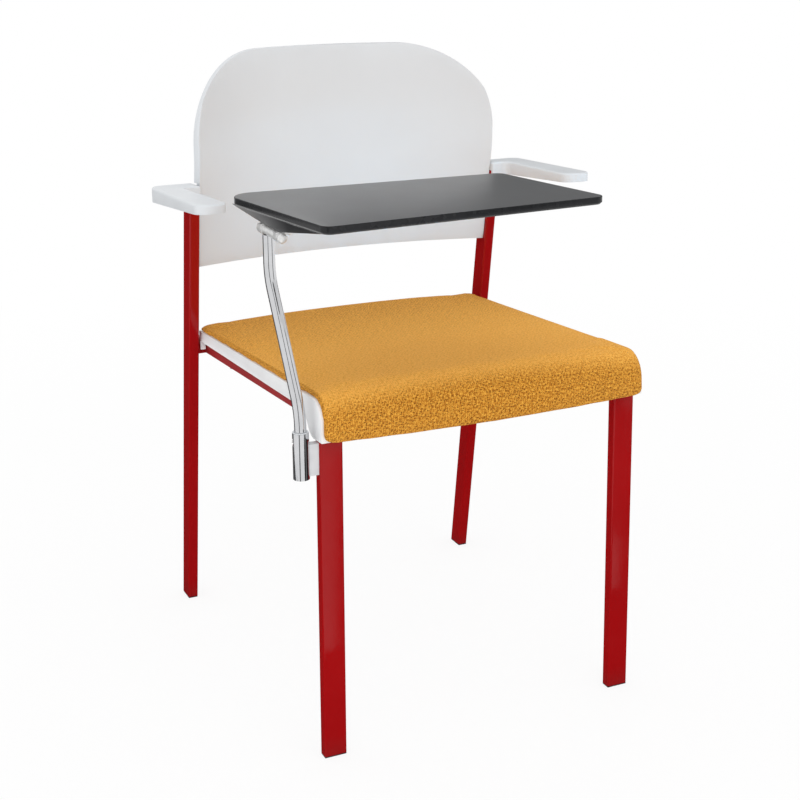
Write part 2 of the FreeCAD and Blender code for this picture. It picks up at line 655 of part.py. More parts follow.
arch = new_body("back_arch")
sketch = new_sketch(arch, "XZ_Plane", -400.0)
arch_half = s.back_half + s.back_flare
outline(sketch, [
    (-1 * arch_half, s.back_bottom - 10.0), (arch_half, s.back_bottom - 10.0),
    (arch_half, s.back_top - s.back_corner, s.back_corner, 1), (arch_half - s.back_corner, s.back_top),
    (s.back_corner - arch_half, s.back_top, s.back_corner, 1), (-1 * arch_half, s.back_top - s.back_corner)])
pad(arch, sketch, 400.0)

# The arch's front edge draws in as far as the sides do, so the outline runs smoothly into the corners.
taper = new_body("back_taper")
edge_y = s.back_start_y + s.back_recline * rise * shares[4] - s.back_sag_e
corner_x = arch_half - s.back_corner
corner_z = s.back_top - s.back_corner


def taper_section(ahead):
    sketch = new_sketch(taper, "XZ_Plane", (edge_y + ahead) * -1)
    half = s.back_half + s.back_edge_slack + s.back_edge_taper * ahead
    radius = half - corner_x
    low = s.back_bottom - 10.0
    outline(sketch, [
        (-1 * half, low), (half, low), (half, corner_z, radius, 1), (corner_x, corner_z + radius),
        (-1 * corner_x, corner_z + radius, radius, 1), (-1 * half, corner_z)])
    sketch.Visibility = False
    return sketch


taper_loft = taper.newObject("PartDesign::AdditiveLoft", "back_taper_loft")
taper_loft.Profile = taper_section(-20.0)
taper_loft.Sections = [taper_section(200.0)]
taper_loft.Ruled = True
back_arched = doc.addObject("Part::MultiCommon", "back_arched")
back_arched.Shapes = [back_loft, arch, taper]
notch_high = s.back_notch - s.back_bottom + 20.0
back_trim = cut("back_trim", back_arched, group("back_notches", [
    box("back_notch_right", -1 * s.back_half - 50.0, 100.0, s.back_bottom - 20.0, 50.0, 250.0, notch_high),
    box("back_notch_left", s.back_half, 100.0, s.back_bottom - 20.0, 50.0, 250.0, notch_high)]))


def behind_panel(height, gap, below, above, sag_below, sag_above):
    # Where the panel's rear face lies at a tab's inner end, plus a gap so the flat tab clears the curve.
    sag = sag_below + (sag_above - sag_below) * ((height / rise - below) / (above - below))
    across = (s.leg_inner - s.tab_long) / (s.back_half + s.back_flare)
    middle = s.back_start_y + s.back_recline * height
    return middle + s.back_thick - (sag + s.back_flare * 0.2) * across * across + gap


tab_low_y = behind_panel(s.tab_low_rise, s.tab_low_gap, 0.0, shares[1], s.back_sag_a, s.back_sag_b)
tab_up_y = behind_panel(s.tab_up_rise, s.tab_up_gap, shares[1], shares[2], s.back_sag_b, s.back_sag_c)
tabs = []
for side, sign in (("right", -1), ("left", 1)):
    for place, lift, y in (("low", s.tab_low_rise, tab_low_y), ("up", s.tab_up_rise, tab_up_y)):
        tabs.append((side + "_" + place, sign, s.back_bottom + lift, y))
leg_inner = s.leg_inner
bosses = []
drills = []
screws = []
plates = []
for name, sign, z, y in tabs:
    x = (leg_inner - s.tab_screw_in) * sign
    root = y - s.tab_boss_long
    bosses.append(cylinder(name + "_boss", s.tab_boss_radius, s.tab_boss_long, x, root, z, "y"))
    hole = s.back_screw_radius + s.screw_slack
    tip = s.back_screw_long - s.tab_thick
    drills.append(cylinder(name + "_drill", hole, tip + 0.5 + s.tab_thick, x, y - tip - 0.5, z, "y"))
    start = leg_inner * sign if sign < 0 else leg_inner - s.tab_long
    plate = box(name + "_plate", start, y, z - s.tab_high / 2, s.tab_long, s.tab_thick, s.tab_high)
    edge = leg_inner * sign if sign < 0 else leg_inner - s.tab_thick
    flange = box(name + "_flange", edge, y - s.tab_flange, z - s.tab_high / 2,
                 s.tab_thick, s.tab_flange + s.tab_thick, s.tab_high)
    bore = cylinder(name + "_bore", hole, s.tab_thick + 2.0, x, y - 1.0, z, "y")
    plates.append(cut(name + "_tab", fuse(name + "_angle", [plate, flange]), bore))
    shank = cylinder(name + "_shank", s.back_screw_radius, s.back_screw_long, x, y - tip, z, "y")
    head = cylinder(name + "_head", s.back_screw_head, s.back_screw_high, x, y + s.tab_thick, z, "y")
    screws.append(fuse(name + "_screw", [shank, head]))
back_solid = fuse("back_solid", [back_trim] + bosses)
keep("back_panel", cut("back_panel_drilled", back_solid, group("back_drills", drills)))
keep("back_tabs", group("back_tabs", plates))
keep("back_screws", group("back_screws", screws))


# Arm pads: an L in plan, thinning to the tip, each plugged on its rear leg's top.
def arm(side, sign):
    body = new_body(side + "_arm")
    sketch = new_sketch(body, "XY_Plane", s.arm_low_z - 20.0)
    x = lambda size: size * sign
    outline(sketch, [
        (x(s.arm_inner_end), s.arm_rear_y), (x(s.arm_inner_end), s.arm_step_y),
        (x(s.arm_inner_rear - s.arm_step_bend), s.arm_step_y, s.arm_step_bend, -sign),
        (x(s.arm_inner_rear), s.arm_step_y - s.arm_step_bend),
        (x(s.arm_inner_tip), s.arm_tip_y + s.arm_tip_inner, s.arm_tip_inner, sign),
        (x(s.arm_inner_tip + s.arm_tip_inner), s.arm_tip_y),
        (x(s.arm_outer - s.arm_tip_outer), s.arm_tip_y, s.arm_tip_outer, sign),
        (x(s.arm_outer), s.arm_tip_y + s.arm_tip_outer),
        (x(s.arm_outer), s.arm_rear_y - s.arm_rear_bend, s.arm_rear_bend, sign),
        (x(s.arm_outer - s.arm_rear_bend), s.arm_rear_y)])
    pad(body, sketch, s.arm_top_z - s.arm_low_z + 50.0)
    sketch = new_sketch(body, "YZ_Plane")
    front = s.arm_tip_y - 30.0
    rear = s.arm_rear_y + 30.0
    high = s.arm_top_z + 60.0
    low = s.arm_low_z - 60.0
    outline(sketch, [
        (front, s.arm_top_z + s.arm_top_slope * (s.arm_top_y - front)),
        (rear, s.arm_top_z + s.arm_top_slope * (s.arm_top_y - rear)), (rear, high), (front, high)])
    outline(sketch, [
        (front, low), (rear, low), (rear, s.arm_low_z + s.arm_low_slope * (s.arm_low_y - rear)),
        (front, s.arm_low_z + s.arm_low_slope * (s.arm_low_y - front))])
    pocket(body, sketch, s.arm_outer * 2 + 100.0, both=True)
    doc.recompute()
    top = max(body.Shape.Faces, key=lambda face: face.normalAt(0, 0).z * face.Area)
    names = []
    for i, edge in enumerate(body.Shape.Edges, start=1):
        if any(edge.isSame(other) for other in top.Edges):
            names.append("Edge" + str(i))
    shaped = body.Tip
    soft = body.newObject("PartDesign::Fillet", side + "_arm_edge")
    soft.Base = (shaped, names)
    soft.Radius = s.arm_edge.number
    bind(soft, "Radius", s.arm_edge)
    body.Tip = soft
    leg_front = s.leg_top_front
    leg_rear = s.leg_top_rear
    slack = s.arm_leg_slack
    sketch = new_sketch(body, "XY_Plane", s.rear_leg_top)
    inside = (s.arm_inner_end - 5.0) * sign
    outside = (s.rear_foot_x + slack) * sign
    extra = s.rear_lean * 20.0
    steps = [(inside, leg_front - slack), (outside, leg_front - slack),
             (outside, leg_rear + extra + slack), (inside, leg_rear + extra + slack)]
    outline(sketch, steps)
    pocket(body, sketch, 60.0)
    sketch = new_sketch(body, "XY_Plane", s.rear_leg_top)
    gap = s.tube_wall + s.arm_stub_slack
    near = (s.rear_foot_x - s.tube_thin + gap) * sign
    far = (s.rear_foot_x - gap) * sign
    outline(sketch, [
        (near, leg_front + gap), (far, leg_front + gap), (far, leg_rear - gap), (near, leg_rear - gap)])
    pad(body, sketch, s.arm_stub_long, along=(0.0, s.rear_lean, -1.0))
    keep(side + "_arm", body)


arm("right", -1)
arm("left", 1)


# Tablet socket: chrome sleeve on a web beside the right front leg, with a liner and an end plug.
socket_x = -1 * s.socket_x
sleeve = cut(
    "sleeve_ring",
    cylinder("sleeve_outer", s.socket_radius, s.socket_high, socket_x, s.socket_y, s.socket_low),
    cylinder("sleeve_bore", s.socket_bore, s.socket_high + 2.0, socket_x, s.socket_y, s.socket_low - 1.0))


def slot_tool(name):
    item = cylinder(name, s.socket_radius + 2.0, s.slot_high, socket_x, s.socket_y, s.slot_low)
    item.Angle = s.slot_turn.number
    bind(item, "Angle", s.slot_turn)
    turn = FreeCAD.Rotation(FreeCAD.Vector(0, 0, 1), s.slot_start.number)
    item.Placement = FreeCAD.Placement(item.Placement.Base, turn)
    bind(item, "Placement.Rotation.Angle", s.slot_start)
    return item


keep("tablet_socket", cut("tablet_socket_slotted", sleeve, slot_tool("socket_slot")))
liner_low = s.socket_low + s.plug_high
liner_high = s.socket_top - liner_low
liner_radius = s.socket_bore - s.liner_slack
liner_bore = s.post_radius + s.post_slack
liner = cut(
    "liner_ring",
    cylinder("liner_outer", liner_radius, liner_high, socket_x, s.socket_y, liner_low),
    cylinder("liner_bore", liner_bore, liner_high + 2.0, socket_x, s.socket_y, liner_low - 1.0))
keep("socket_liner", cut("socket_liner_slotted", liner, slot_tool("liner_slot")))
keep("socket_plug", cylinder("socket_plug", liner_radius, s.plug_high, socket_x, s.socket_y, s.socket_low))

web = new_body("socket_web")
sketch = new_sketch(web, "XZ_Plane", -1 * s.socket_y)
lean_low = s.front_lean_in * (s.plate_low - s.glide_height) - s.front_foot_x
lean_top = s.front_lean_in * (s.plate_top - s.glide_height) - s.front_foot_x
outline(sketch, [
    (socket_x, s.plate_low), (lean_low, s.plate_low), (lean_top, s.plate_top), (socket_x, s.plate_top)])
pad(web, sketch, s.plate_thick, both=True)
saddle_radius = s.socket_radius + s.weld_gap
keep("socket_plate", cut("socket_plate_saddle", web, cylinder(
    "plate_saddle", saddle_radius, s.plate_high + 2.0, socket_x, s.socket_y, s.plate_low - 1.0)))


# Tablet post: bent chrome tube that turns in the socket, with a guide pin and a hinge bar on top.
post_y = s.post_y
reach = s.post_bend_radius * tangent(s.post_angle / 2)
aside = reach * sine(s.post_angle)
upward = reach * cosine(s.post_angle)
path = doc.addObject("Sketcher::SketchObject", "post_path")
path.Placement = FreeCAD.Placement(FreeCAD.Vector(), FreeCAD.Rotation(FreeCAD.Vector(1, 1, 1), 120))
move(path, socket_x, 0.0, 0.0)
route = [
    (s.socket_y, liner_low), (s.socket_y, s.post_bend_low - reach, -1),
    (s.socket_y + aside, s.post_bend_low + upward), (post_y - aside, s.post_bend_high - upward, 1),
    (post_y, s.post_bend_high + reach), (post_y, s.post_top)]
ends = []
for here, there in zip(route, route[1:]):
    start = FreeCAD.Vector(here[0].number, here[1].number, 0)
    stop = FreeCAD.Vector(there[0].number, there[1].number, 0)
    if len(here) == 2:
        path.addGeometry(Part.LineSegment(start, stop), False)
        ends.append((1, 2))
        continue
    turn = here[2]
    half = (stop - start).Length / 2
    across = FreeCAD.Vector(-(stop.y - start.y), stop.x - start.x, 0).normalize()
    radius = s.post_bend_radius.number
    middle = (start + stop) * 0.5 + across * (math.sqrt(radius * radius - half * half) * turn)
    begin = math.atan2(start.y - middle.y, start.x - middle.x)
    finish = math.atan2(stop.y - middle.y, stop.x - middle.x)
    circle = Part.Circle(middle, FreeCAD.Vector(0, 0, 1), radius)
    arc = Part.ArcOfCircle(circle, begin, finish) if turn > 0 else Part.ArcOfCircle(circle, finish, begin)
    path.addGeometry(arc, False)
    ends.append((1, 2) if turn > 0 else (2, 1))
for i in range(len(ends) - 1):
    path.addConstraint(Sketcher.Constraint("Coincident", i, ends[i][1], i + 1, ends[i + 1][0]))
for i in range(len(ends)):
    fix(path, i, ends[i][0], route[i][0], route[i][1])
    if len(route[i]) > 2:
        index = path.addConstraint(Sketcher.Constraint("Radius", i, s.post_bend_radius.number))
        path.setExpression("Constraints[" + str(index) + "]", s.post_bend_radius.text)
fix(path, len(ends) - 1, ends[-1][1], route[-1][0], route[-1][1])
path.Visibility = False


def post_sweep(name, radius):
    profile = doc.addObject("Sketcher::SketchObject", name + "_profile")
    move(profile, socket_x, s.socket_y, liner_low)
    ring(profile, plain(0.0), plain(0.0), radius)
    profile.Visibility = False
    item = doc.addObject("Part::Sweep", name)
    item.Sections = [profile]
    item.Spine = (path, ["Edge" + str(i + 1) for i in range(len(ends))])
    item.Solid = True
    item.Frenet = True
    return item


post_skin = cut("post_skin", post_sweep("post_outside", s.post_radius),
                post_sweep("post_inside", s.post_radius - s.post_wall))
pin_z = s.slot_low + s.slot_high / 2


def pin_rod(name, radius, root, tip):
    item = doc.addObject("Part::Cylinder", name)
    item.Radius = plain(radius).number
    item.Height = (tip - root).number
    bind(item, "Radius", radius)
    bind(item, "Height", tip - root)
    flat = FreeCAD.Rotation(FreeCAD.Vector(0, 1, 0), 90)
    spin = FreeCAD.Rotation(FreeCAD.Vector(0, 0, 1), s.pin_angle.number)
    item.Placement = FreeCAD.Placement(FreeCAD.Vector(), spin.multiply(flat))
    move(item, socket_x + root * cosine(s.pin_angle), s.socket_y + root * sine(s.pin_angle), pin_z)
    return item


bar_long = s.bar_rear - s.bar_front
post_tools = group("post_tools", [
    pin_rod("pin_hole", s.pin_radius + s.pin_slack, s.pin_root, s.pin_reach),
    cylinder("bar_saddle", s.bar_radius + s.weld_gap, bar_long, socket_x, s.bar_front, s.bar_z, "y")])
keep("tablet_post", cut("tablet_post_fitted", post_skin, post_tools))
keep("guide_pin", pin_rod("guide_pin", s.pin_radius, s.pin_root, s.pin_reach))
keep("hinge_bar", cylinder("hinge_bar", s.bar_radius, bar_long, socket_x, s.bar_front, s.bar_z, "y"))


# Tablet board with a wedge bracket below it, carried on the hinge bar by two bearings.
board = new_body("tablet_blank")
sketch = new_sketch(board, "XY_Plane", s.tablet_top - s.tablet_thick)
outline(sketch, [
    (s.tablet_left_rear_x, s.tablet_left_rear_y), (s.tablet_left_front_x, s.tablet_left_front_y),
    (s.tablet_right_front_x, s.tablet_right_front_y), (s.tablet_right_rear_x, s.tablet_right_rear_y)])
pad(board, sketch, s.tablet_thick)
doc.recompute()


def soften(body, kind, name, size, wanted):
    names = []
    for i, edge in enumerate(body.Shape.Edges, start=1):
        if wanted(edge.BoundBox):
            names.append("Edge" + str(i))
    shaped = body.Tip
    item = body.newObject("PartDesign::" + kind, name)
    item.Base = (shaped, names)
    path = "Radius" if kind == "Fillet" else "Size"
    setattr(item, path, size.number)
    bind(item, path, size)
    body.Tip = item
    doc.recompute()


outer_x = s.tablet_left_rear_x.number
inner_x = outer_x + 0.9 * (s.left_front_x - s.left_rear_x).number
upright = lambda b: b.ZLength > 0.5 * s.tablet_thick.number
soften(board, "Fillet", "tablet_outer", s.tablet_outer_corner, lambda b: upright(b) and b.XMax < outer_x + 1)
soften(board, "Fillet", "tablet_corners", s.tablet_corner, lambda b: upright(b) and b.XMin > inner_x)
board_low = (s.tablet_top - s.tablet_thick).number
soften(board, "Fillet", "tablet_rim", s.tablet_edge, lambda b: b.ZMin > s.tablet_top.number - 0.01)
soften(board, "Chamfer", "tablet_under", s.tablet_under_edge, lambda b: b.ZMax < board_low + 0.01)

screw_x = s.tablet_screw_in - s.socket_x
screw_spots = [(screw_x, s.post_y + s.tablet_screw_a), (screw_x, s.post_y + s.tablet_screw_b)]
hole = s.tablet_screw_radius + s.screw_slack
tip_z = s.tablet_top - s.tablet_screw_tip
board_drills = group("board_drills", [
    cylinder("board_drill_" + str(i), hole, tip_z + 0.5 - s.wedge_low, x, y, s.wedge_low)
    for i, (x, y) in enumerate(screw_spots)])
keep("tablet_board", cut("tablet_board_drilled", board, board_drills))

edge_run = (s.tablet_left_front_x - s.tablet_left_rear_x) / (s.tablet_left_front_y - s.tablet_left_rear_y)


def left_edge(y):
    return s.tablet_left_rear_x + (y - s.tablet_left_rear_y) * edge_run + s.wedge_inset


def quad(name, z, steps):
    sketch = doc.addObject("Sketcher::SketchObject", name)
    move(sketch, 0.0, 0.0, z)
    outline(sketch, steps)
    sketch.Visibility = False
    return sketch


wedge_right = s.wedge_top_right - s.socket_x
wedge = doc.addObject("Part::Loft", "wedge_blank")
wedge.Sections = [
    quad("wedge_under", s.wedge_low, [
        (s.wedge_left, s.wedge_rear), (s.wedge_left, s.wedge_front), (s.wedge_right, s.wedge_front),
        (s.wedge_right, s.wedge_rear)]),
    quad("wedge_upper", s.tablet_top - s.tablet_thick, [
        (left_edge(s.wedge_top_rear), s.wedge_top_rear), (left_edge(s.wedge_top_front), s.wedge_top_front),
        (wedge_right, s.wedge_top_front), (wedge_right, s.wedge_top_rear)])]
wedge.Solid = True
wedge.Ruled = True

foot_x = socket_x - s.bearing_radius
foot_wide = s.bearing_radius + s.foot_reach
spots = [("front", s.bar_front + s.bearing_depth, -1), ("rear", s.bar_rear - s.bearing_depth, 1)]
foot_z = s.wedge_low - s.foot_thick
neck_wide = s.bearing_radius * 2
neck_high = s.wedge_low - s.bar_z
bore_radius = s.bar_radius + s.bar_slack
bearings = []
small_screws = []
wedge_tools = [board_drills]
for name, face, way in spots:
    low = face - s.bearing_long if way < 0 else face
    foot_low = face - s.foot_long if way < 0 else face
    barrel = cylinder(name + "_barrel", s.bearing_radius, s.bearing_long, socket_x, low, s.bar_z, "y")
    neck = box(name + "_neck", foot_x, foot_low, s.bar_z, neck_wide, s.foot_long, neck_high)
    foot = box(name + "_foot", foot_x, foot_low, foot_z, foot_wide, s.foot_long, s.foot_thick)
    deep = s.bearing_depth + s.bearing_end
    mouth = face - deep if way < 0 else face - 1.0
    bore = cylinder(name + "_bearing_bore", bore_radius, deep + 1.0, socket_x, mouth, s.bar_z, "y")
    screw_x = socket_x + s.foot_screw
    screw_y = foot_low + s.foot_long / 2
    thread = s.small_screw + s.screw_slack
    drill = cylinder(name + "_foot_drill", thread, s.small_screw_long + 1.0, screw_x, screw_y, foot_z - 0.5)
    bearings.append(cut(name + "_bearing", fuse(name + "_block", [barrel, neck, foot]),
                        group(name + "_bearing_tools", [bore, drill])))
    shank = cylinder(name + "_small_shank", s.small_screw, s.small_screw_long, screw_x, screw_y, foot_z)
    head = cylinder(name + "_small_head", s.small_head, s.small_head_high, screw_x, screw_y,
                    foot_z - s.small_head_high)
    small_screws.append(fuse(name + "_small_screw", [shank, head]))
    deeper = s.small_screw_long + 0.5
    wedge_tools.append(cylinder(name + "_wedge_drill", thread, deeper, screw_x, screw_y, foot_z))
keep("tablet_bracket", cut("tablet_bracket_drilled", wedge, group("wedge_tools", wedge_tools)))
keep("hinge_bearings", group("hinge_bearings", bearings))
keep("bearing_screws", group("bearing_screws", small_screws))

tablet_screws = []
for i, (x, y) in enumerate(screw_spots):
    shank = cylinder("tablet_shank_" + str(i), s.tablet_screw_radius, tip_z - s.wedge_low, x, y, s.wedge_low)
    head = cylinder("tablet_head_" + str(i), s.tablet_screw_head, s.tablet_screw_high, x, y,
                    s.wedge_low - s.tablet_screw_high)
    tablet_screws.append(fuse("tablet_screw_" + str(i), [shank, head]))
keep("tablet_screws", group("tablet_screws", tablet_screws))

doc.recompute()
faults = []
for item in doc.Objects:
    if "Invalid" in item.State or "Error" in item.State:
        faults.append(item.Name + " " + " ".join(item.State))
for name, item in pieces.items():
    shape = item.Shape
    if shape.isNull() or not shape.isValid() or not shape.Solids:
        faults.append(name + " has no sound solid")
if faults:
    raise RuntimeError("; ".join(faults))
os.makedirs("parts", exist_ok=True)
for name, item in pieces.items():
    item.Shape.exportStep("parts/" + name + ".step")
    bounds = item.Shape.BoundBox
    low = (round(bounds.XMin, 1), round(bounds.YMin, 1), round(bounds.ZMin, 1))
    high = (round(bounds.XMax, 1), round(bounds.YMax, 1), round(bounds.ZMax, 1))
    print(name, len(item.Shape.Solids), round(item.Shape.Volume), low, high)
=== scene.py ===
import bpy
import math
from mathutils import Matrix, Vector


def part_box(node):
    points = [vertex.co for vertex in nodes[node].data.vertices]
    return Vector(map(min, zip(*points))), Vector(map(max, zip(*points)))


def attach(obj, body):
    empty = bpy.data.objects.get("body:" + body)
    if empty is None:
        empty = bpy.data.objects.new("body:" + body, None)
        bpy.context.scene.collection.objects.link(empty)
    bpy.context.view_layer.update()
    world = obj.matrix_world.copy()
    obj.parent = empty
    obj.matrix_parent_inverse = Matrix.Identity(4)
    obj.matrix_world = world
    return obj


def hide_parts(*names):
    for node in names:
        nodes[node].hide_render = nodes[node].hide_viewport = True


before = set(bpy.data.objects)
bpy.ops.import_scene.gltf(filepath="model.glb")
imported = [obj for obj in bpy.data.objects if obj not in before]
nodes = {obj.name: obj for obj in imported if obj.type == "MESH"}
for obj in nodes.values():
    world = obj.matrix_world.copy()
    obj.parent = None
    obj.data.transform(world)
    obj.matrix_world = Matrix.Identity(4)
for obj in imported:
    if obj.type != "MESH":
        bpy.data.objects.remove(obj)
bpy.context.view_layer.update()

print("frame loaded,", len(nodes), "nodes")


# small helpers for working in object and edit mode

def pick(piece):
    bpy.ops.object.select_all(action="DESELECT")
    bpy.context.view_layer.objects.active = piece
    piece.select_set(True)


def edit(piece, mode="FACE"):
    pick(piece)
    bpy.ops.object.mode_set(mode="EDIT")
    bpy.ops.mesh.select_mode(type=mode)
    bpy.ops.mesh.select_all(action="DESELECT")


def done():
    bpy.ops.object.mode_set(mode="OBJECT")


def chooseFaces(piece, wanted):
    # faces are marked in object mode, by their place and normal
    bpy.ops.object.mode_set(mode="OBJECT")
    for face in piece.data.polygons:
        face.select = wanted(face)
    bpy.ops.object.mode_set(mode="EDIT")


def chooseEdges(piece, wanted):
    bpy.ops.object.mode_set(mode="OBJECT")
    spots = piece.data.vertices
    for edge in piece.data.edges:
        a, b = edge.vertices
        edge.select = wanted(spots[a].co, spots[b].co)
    bpy.ops.object.mode_set(mode="EDIT")


def settle(piece):
    # the place goes into the mesh, so the object sits at the origin
    pick(piece)
    bpy.ops.object.transform_apply(location=True, rotation=True, scale=True)


def applyAll(piece):
    pick(piece)
    for modifier in list(piece.modifiers):
        bpy.ops.object.modifier_apply(modifier=modifier.name)


def smooth(piece, angle=35):
    pick(piece)
    bpy.ops.object.shade_smooth_by_angle(angle=math.radians(angle))


def mergedCopy(nodeName, pieceName):
    piece = bpy.data.objects.new(pieceName, nodes[nodeName].data.copy())
    bpy.context.scene.collection.objects.link(piece)
    piece.data.materials.clear()
    pick(piece)
    bpy.ops.mesh.customdata_custom_splitnormals_clear()
    edit(piece, "VERT")
    bpy.ops.mesh.select_all(action="SELECT")
    bpy.ops.mesh.remove_doubles(threshold=0.00001)
    done()
    return piece


def roundEdges(piece, width, segments, angle):
    bevel = piece.modifiers.new("edges", "BEVEL")
    bevel.limit_method = "ANGLE"
    bevel.angle_limit = math.radians(angle)
    bevel.width = width
    bevel.segments = segments
    applyAll(piece)


def copyTo(first, name, spot, turn):
    twin = bpy.data.objects.new(name, first.data.copy())
    bpy.context.scene.collection.objects.link(twin)
    twin.rotation_euler = turn
    twin.location = spot
    settle(twin)
    return twin


def joinPieces(pieces, name):
    bpy.ops.object.select_all(action="DESELECT")
    for piece in pieces:
        piece.select_set(True)
    bpy.context.view_layer.objects.active = pieces[0]
    bpy.ops.object.join()
    pieces[0].name = name
    return pieces[0]


def finishPiece(piece, material, body, slotName, *replaced):
    piece.data.materials.clear()
    piece.data.materials.append(material)
    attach(piece, body)
    if replaced:
        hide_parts(*replaced)


# material helpers

def startMaterial(name):
    material = bpy.data.materials.new(name)
    material.use_nodes = True
    tree = material.node_tree
    shader = tree.nodes["Principled BSDF"]
    return material, tree, shader


def add(tree, kind, **settings):
    node = tree.nodes.new("ShaderNode" + kind)
    for key, value in settings.items():
        if hasattr(node, key):
            setattr(node, key, value)
        else:
            node.inputs[key].default_value = value
    return node


def join(tree, source, target):
    tree.links.new(source, target)


def math2(tree, operation, a, b=None, c=None):
    node = add(tree, "Math", operation=operation)
    for i, value in enumerate((a, b, c)):
        if value is None:
            continue
        if isinstance(value, (int, float)):
            node.inputs[i].default_value = value
        else:
            join(tree, value, node.inputs[i])
    return node.outputs[0]


def place(tree, source="Object", scale=(1, 1, 1)):
    coords = add(tree, "TexCoord")
    mapping = add(tree, "Mapping")
    mapping.inputs["Scale"].default_value = scale
    join(tree, coords.outputs[source], mapping.inputs["Vector"])
    return mapping.outputs["Vector"]


def grainNoise(tree, vector, scale, detail=3.0, rough=0.55):
    noise = add(tree, "TexNoise", Scale=scale, Detail=detail, Roughness=rough)
    join(tree, vector, noise.inputs["Vector"])
    return noise.outputs["Fac"]


def ramp(tree, factor, stops):
    node = add(tree, "ValToRGB")
    band = node.color_ramp
    while len(band.elements) < len(stops):
        band.elements.new(0.5)
    for element, (spot, colour) in zip(band.elements, stops):
        element.position = spot
        element.color = (*colour, 1.0)
    join(tree, factor, node.inputs["Fac"])
    return node.outputs["Color"]


def spread(tree, value, low, high, fromLow=0.3, fromHigh=0.7):
    node = add(tree, "MapRange")
    join(tree, value, node.inputs["Value"])
    node.inputs["From Min"].default_value = fromLow
    node.inputs["From Max"].default_value = fromHigh
    node.inputs["To Min"].default_value = low
    node.inputs["To Max"].default_value = high
    return node.outputs["Result"]


def blendColour(tree, factor, first, second):
    node = add(tree, "Mix", data_type="RGBA")
    sockets = (node.inputs[0], node.inputs[6], node.inputs[7])
    for value, socket in zip((factor, first, second), sockets):
        if isinstance(value, (int, float)):
            socket.default_value = value
        elif isinstance(value, tuple):
            socket.default_value = (*value, 1.0)
        else:
            join(tree, value, socket)
    return node.outputs[2]


def colourBy(tree, shader, factor, dark, light):
    # dark and light are each a place on the ramp and a colour
    join(tree, ramp(tree, factor, [dark, light]), shader.inputs["Base Color"])


def roughBy(tree, shader, factor, span):
    join(tree, spread(tree, factor, *span), shader.inputs["Roughness"])


def bump(tree, shader, height, strength, distance=0.0002):
    node = add(tree, "Bump", Strength=strength, Distance=distance)
    join(tree, height, node.inputs["Height"])
    join(tree, node.outputs["Normal"], shader.inputs["Normal"])


redPaintLook = {
    "deep": (0.303, 0.0034, 0.0044),
    "bright": (0.346, 0.0046, 0.0058),
    "gloss": (0.06, 0.12),
    "specular": 0.24,
    "orangePeel": 0.04,
    "peelScale": 420.0,
    "patchScale": 7.0,
    "smearScale": 32.0,
    "lowTone": (0.20, 0.012, 0.012),
    "lowSpeckScale": 260.0,
    "lowMost": 0.55,
    "lowTop": 0.03,        # metres above the floor
}

# the rails under the seat are a flatter, rougher red, with a lighter, pinker colour that is a
# painted reflection of the white room
railSheenLook = dict(redPaintLook, gloss=(0.36, 0.48), specular=0.62,
                     deep=(0.330, 0.012, 0.014), bright=(0.390, 0.020, 0.023))


def redPaint(name, look):
    material, tree, shader = startMaterial(name)
    vector = place(tree)
    patches = grainNoise(tree, vector, look["patchScale"], 4.0)
    colour = ramp(tree, patches, [(0.30, look["deep"]), (0.70, look["bright"])])
    # a darker, duller red in specks on the lowest part of each leg, most at the floor
    split = add(tree, "SeparateXYZ")
    join(tree, vector, split.inputs[0])
    low = spread(tree, split.outputs["Z"], look["lowMost"], 0.0, 0.002, look["lowTop"])
    speck = grainNoise(tree, vector, look["lowSpeckScale"], 5.0, 0.7)
    lowDark = math2(tree, "MULTIPLY", low, speck)
    colour = blendColour(tree, lowDark, colour, look["lowTone"])
    join(tree, colour, shader.inputs["Base Color"])
    smear = grainNoise(tree, vector, look["smearScale"], 3.0)
    clean = spread(tree, smear, *look["gloss"])
    rough = math2(tree, "ADD", clean, math2(tree, "MULTIPLY", lowDark, 0.5))
    join(tree, rough, shader.inputs["Roughness"])
    shader.inputs["Specular IOR Level"].default_value = look["specular"]
    peel = grainNoise(tree, vector, look["peelScale"], 2.0)
    bump(tree, shader, peel, look["orangePeel"], distance=0.0006)
    return material


mouldingLook = {
    "light": (0.714, 0.737, 0.760),
    "shade": (0.692, 0.715, 0.739),
    "speck": (0.60, 0.60, 0.60),
    "gloss": (0.36, 0.48),
    "specular": 0.35,
    "cloudScale": 9.0,
    "speckScale": 900.0,
    "glossScale": 24.0,
    "pitScale": 1100.0,
    "grainScale": 1700.0,
    "grain": 0.10,
}

# the tray takes a lighter copy of the white moulding, painted light on its shaded sides
trayBrightenedLook = dict(mouldingLook, light=(0.900, 0.908, 0.918), shade=(0.875, 0.884, 0.894))


def whiteMoulding(name, look):
    material, tree, shader = startMaterial(name)
    vector = place(tree)
    clouds = grainNoise(tree, vector, look["cloudScale"], 5.0)
    colour = ramp(tree, clouds, [(0.30, look["shade"]), (0.72, look["light"])])
    specks = grainNoise(tree, vector, look["speckScale"], 2.0)
    tone = spread(tree, specks, 0.0, 0.05, 0.62, 0.80)
    colour = blendColour(tree, tone, colour, look["speck"])
    join(tree, colour, shader.inputs["Base Color"])
    roughBy(tree, shader, grainNoise(tree, vector, look["glossScale"]), look["gloss"])
    shader.inputs["Specular IOR Level"].default_value = look["specular"]
    # fine spark-eroded mould grain
    cells = add(tree, "TexVoronoi", Scale=look["pitScale"])
    join(tree, vector, cells.inputs["Vector"])
    fine = grainNoise(tree, vector, look["grainScale"], 2.0)
    height = math2(tree, "ADD", cells.outputs["Distance"], fine)
    bump(tree, shader, height, look["grain"])
    return material


chromeLook = {
    "tone": (0.675, 0.68, 0.695),
    "haze": (0.05, 0.10),
    "smudge": (0.61, 0.615, 0.63),
    "smudgeScale": 45.0,
    "polishScale": 520.0,
    "polish": 0.02,
}


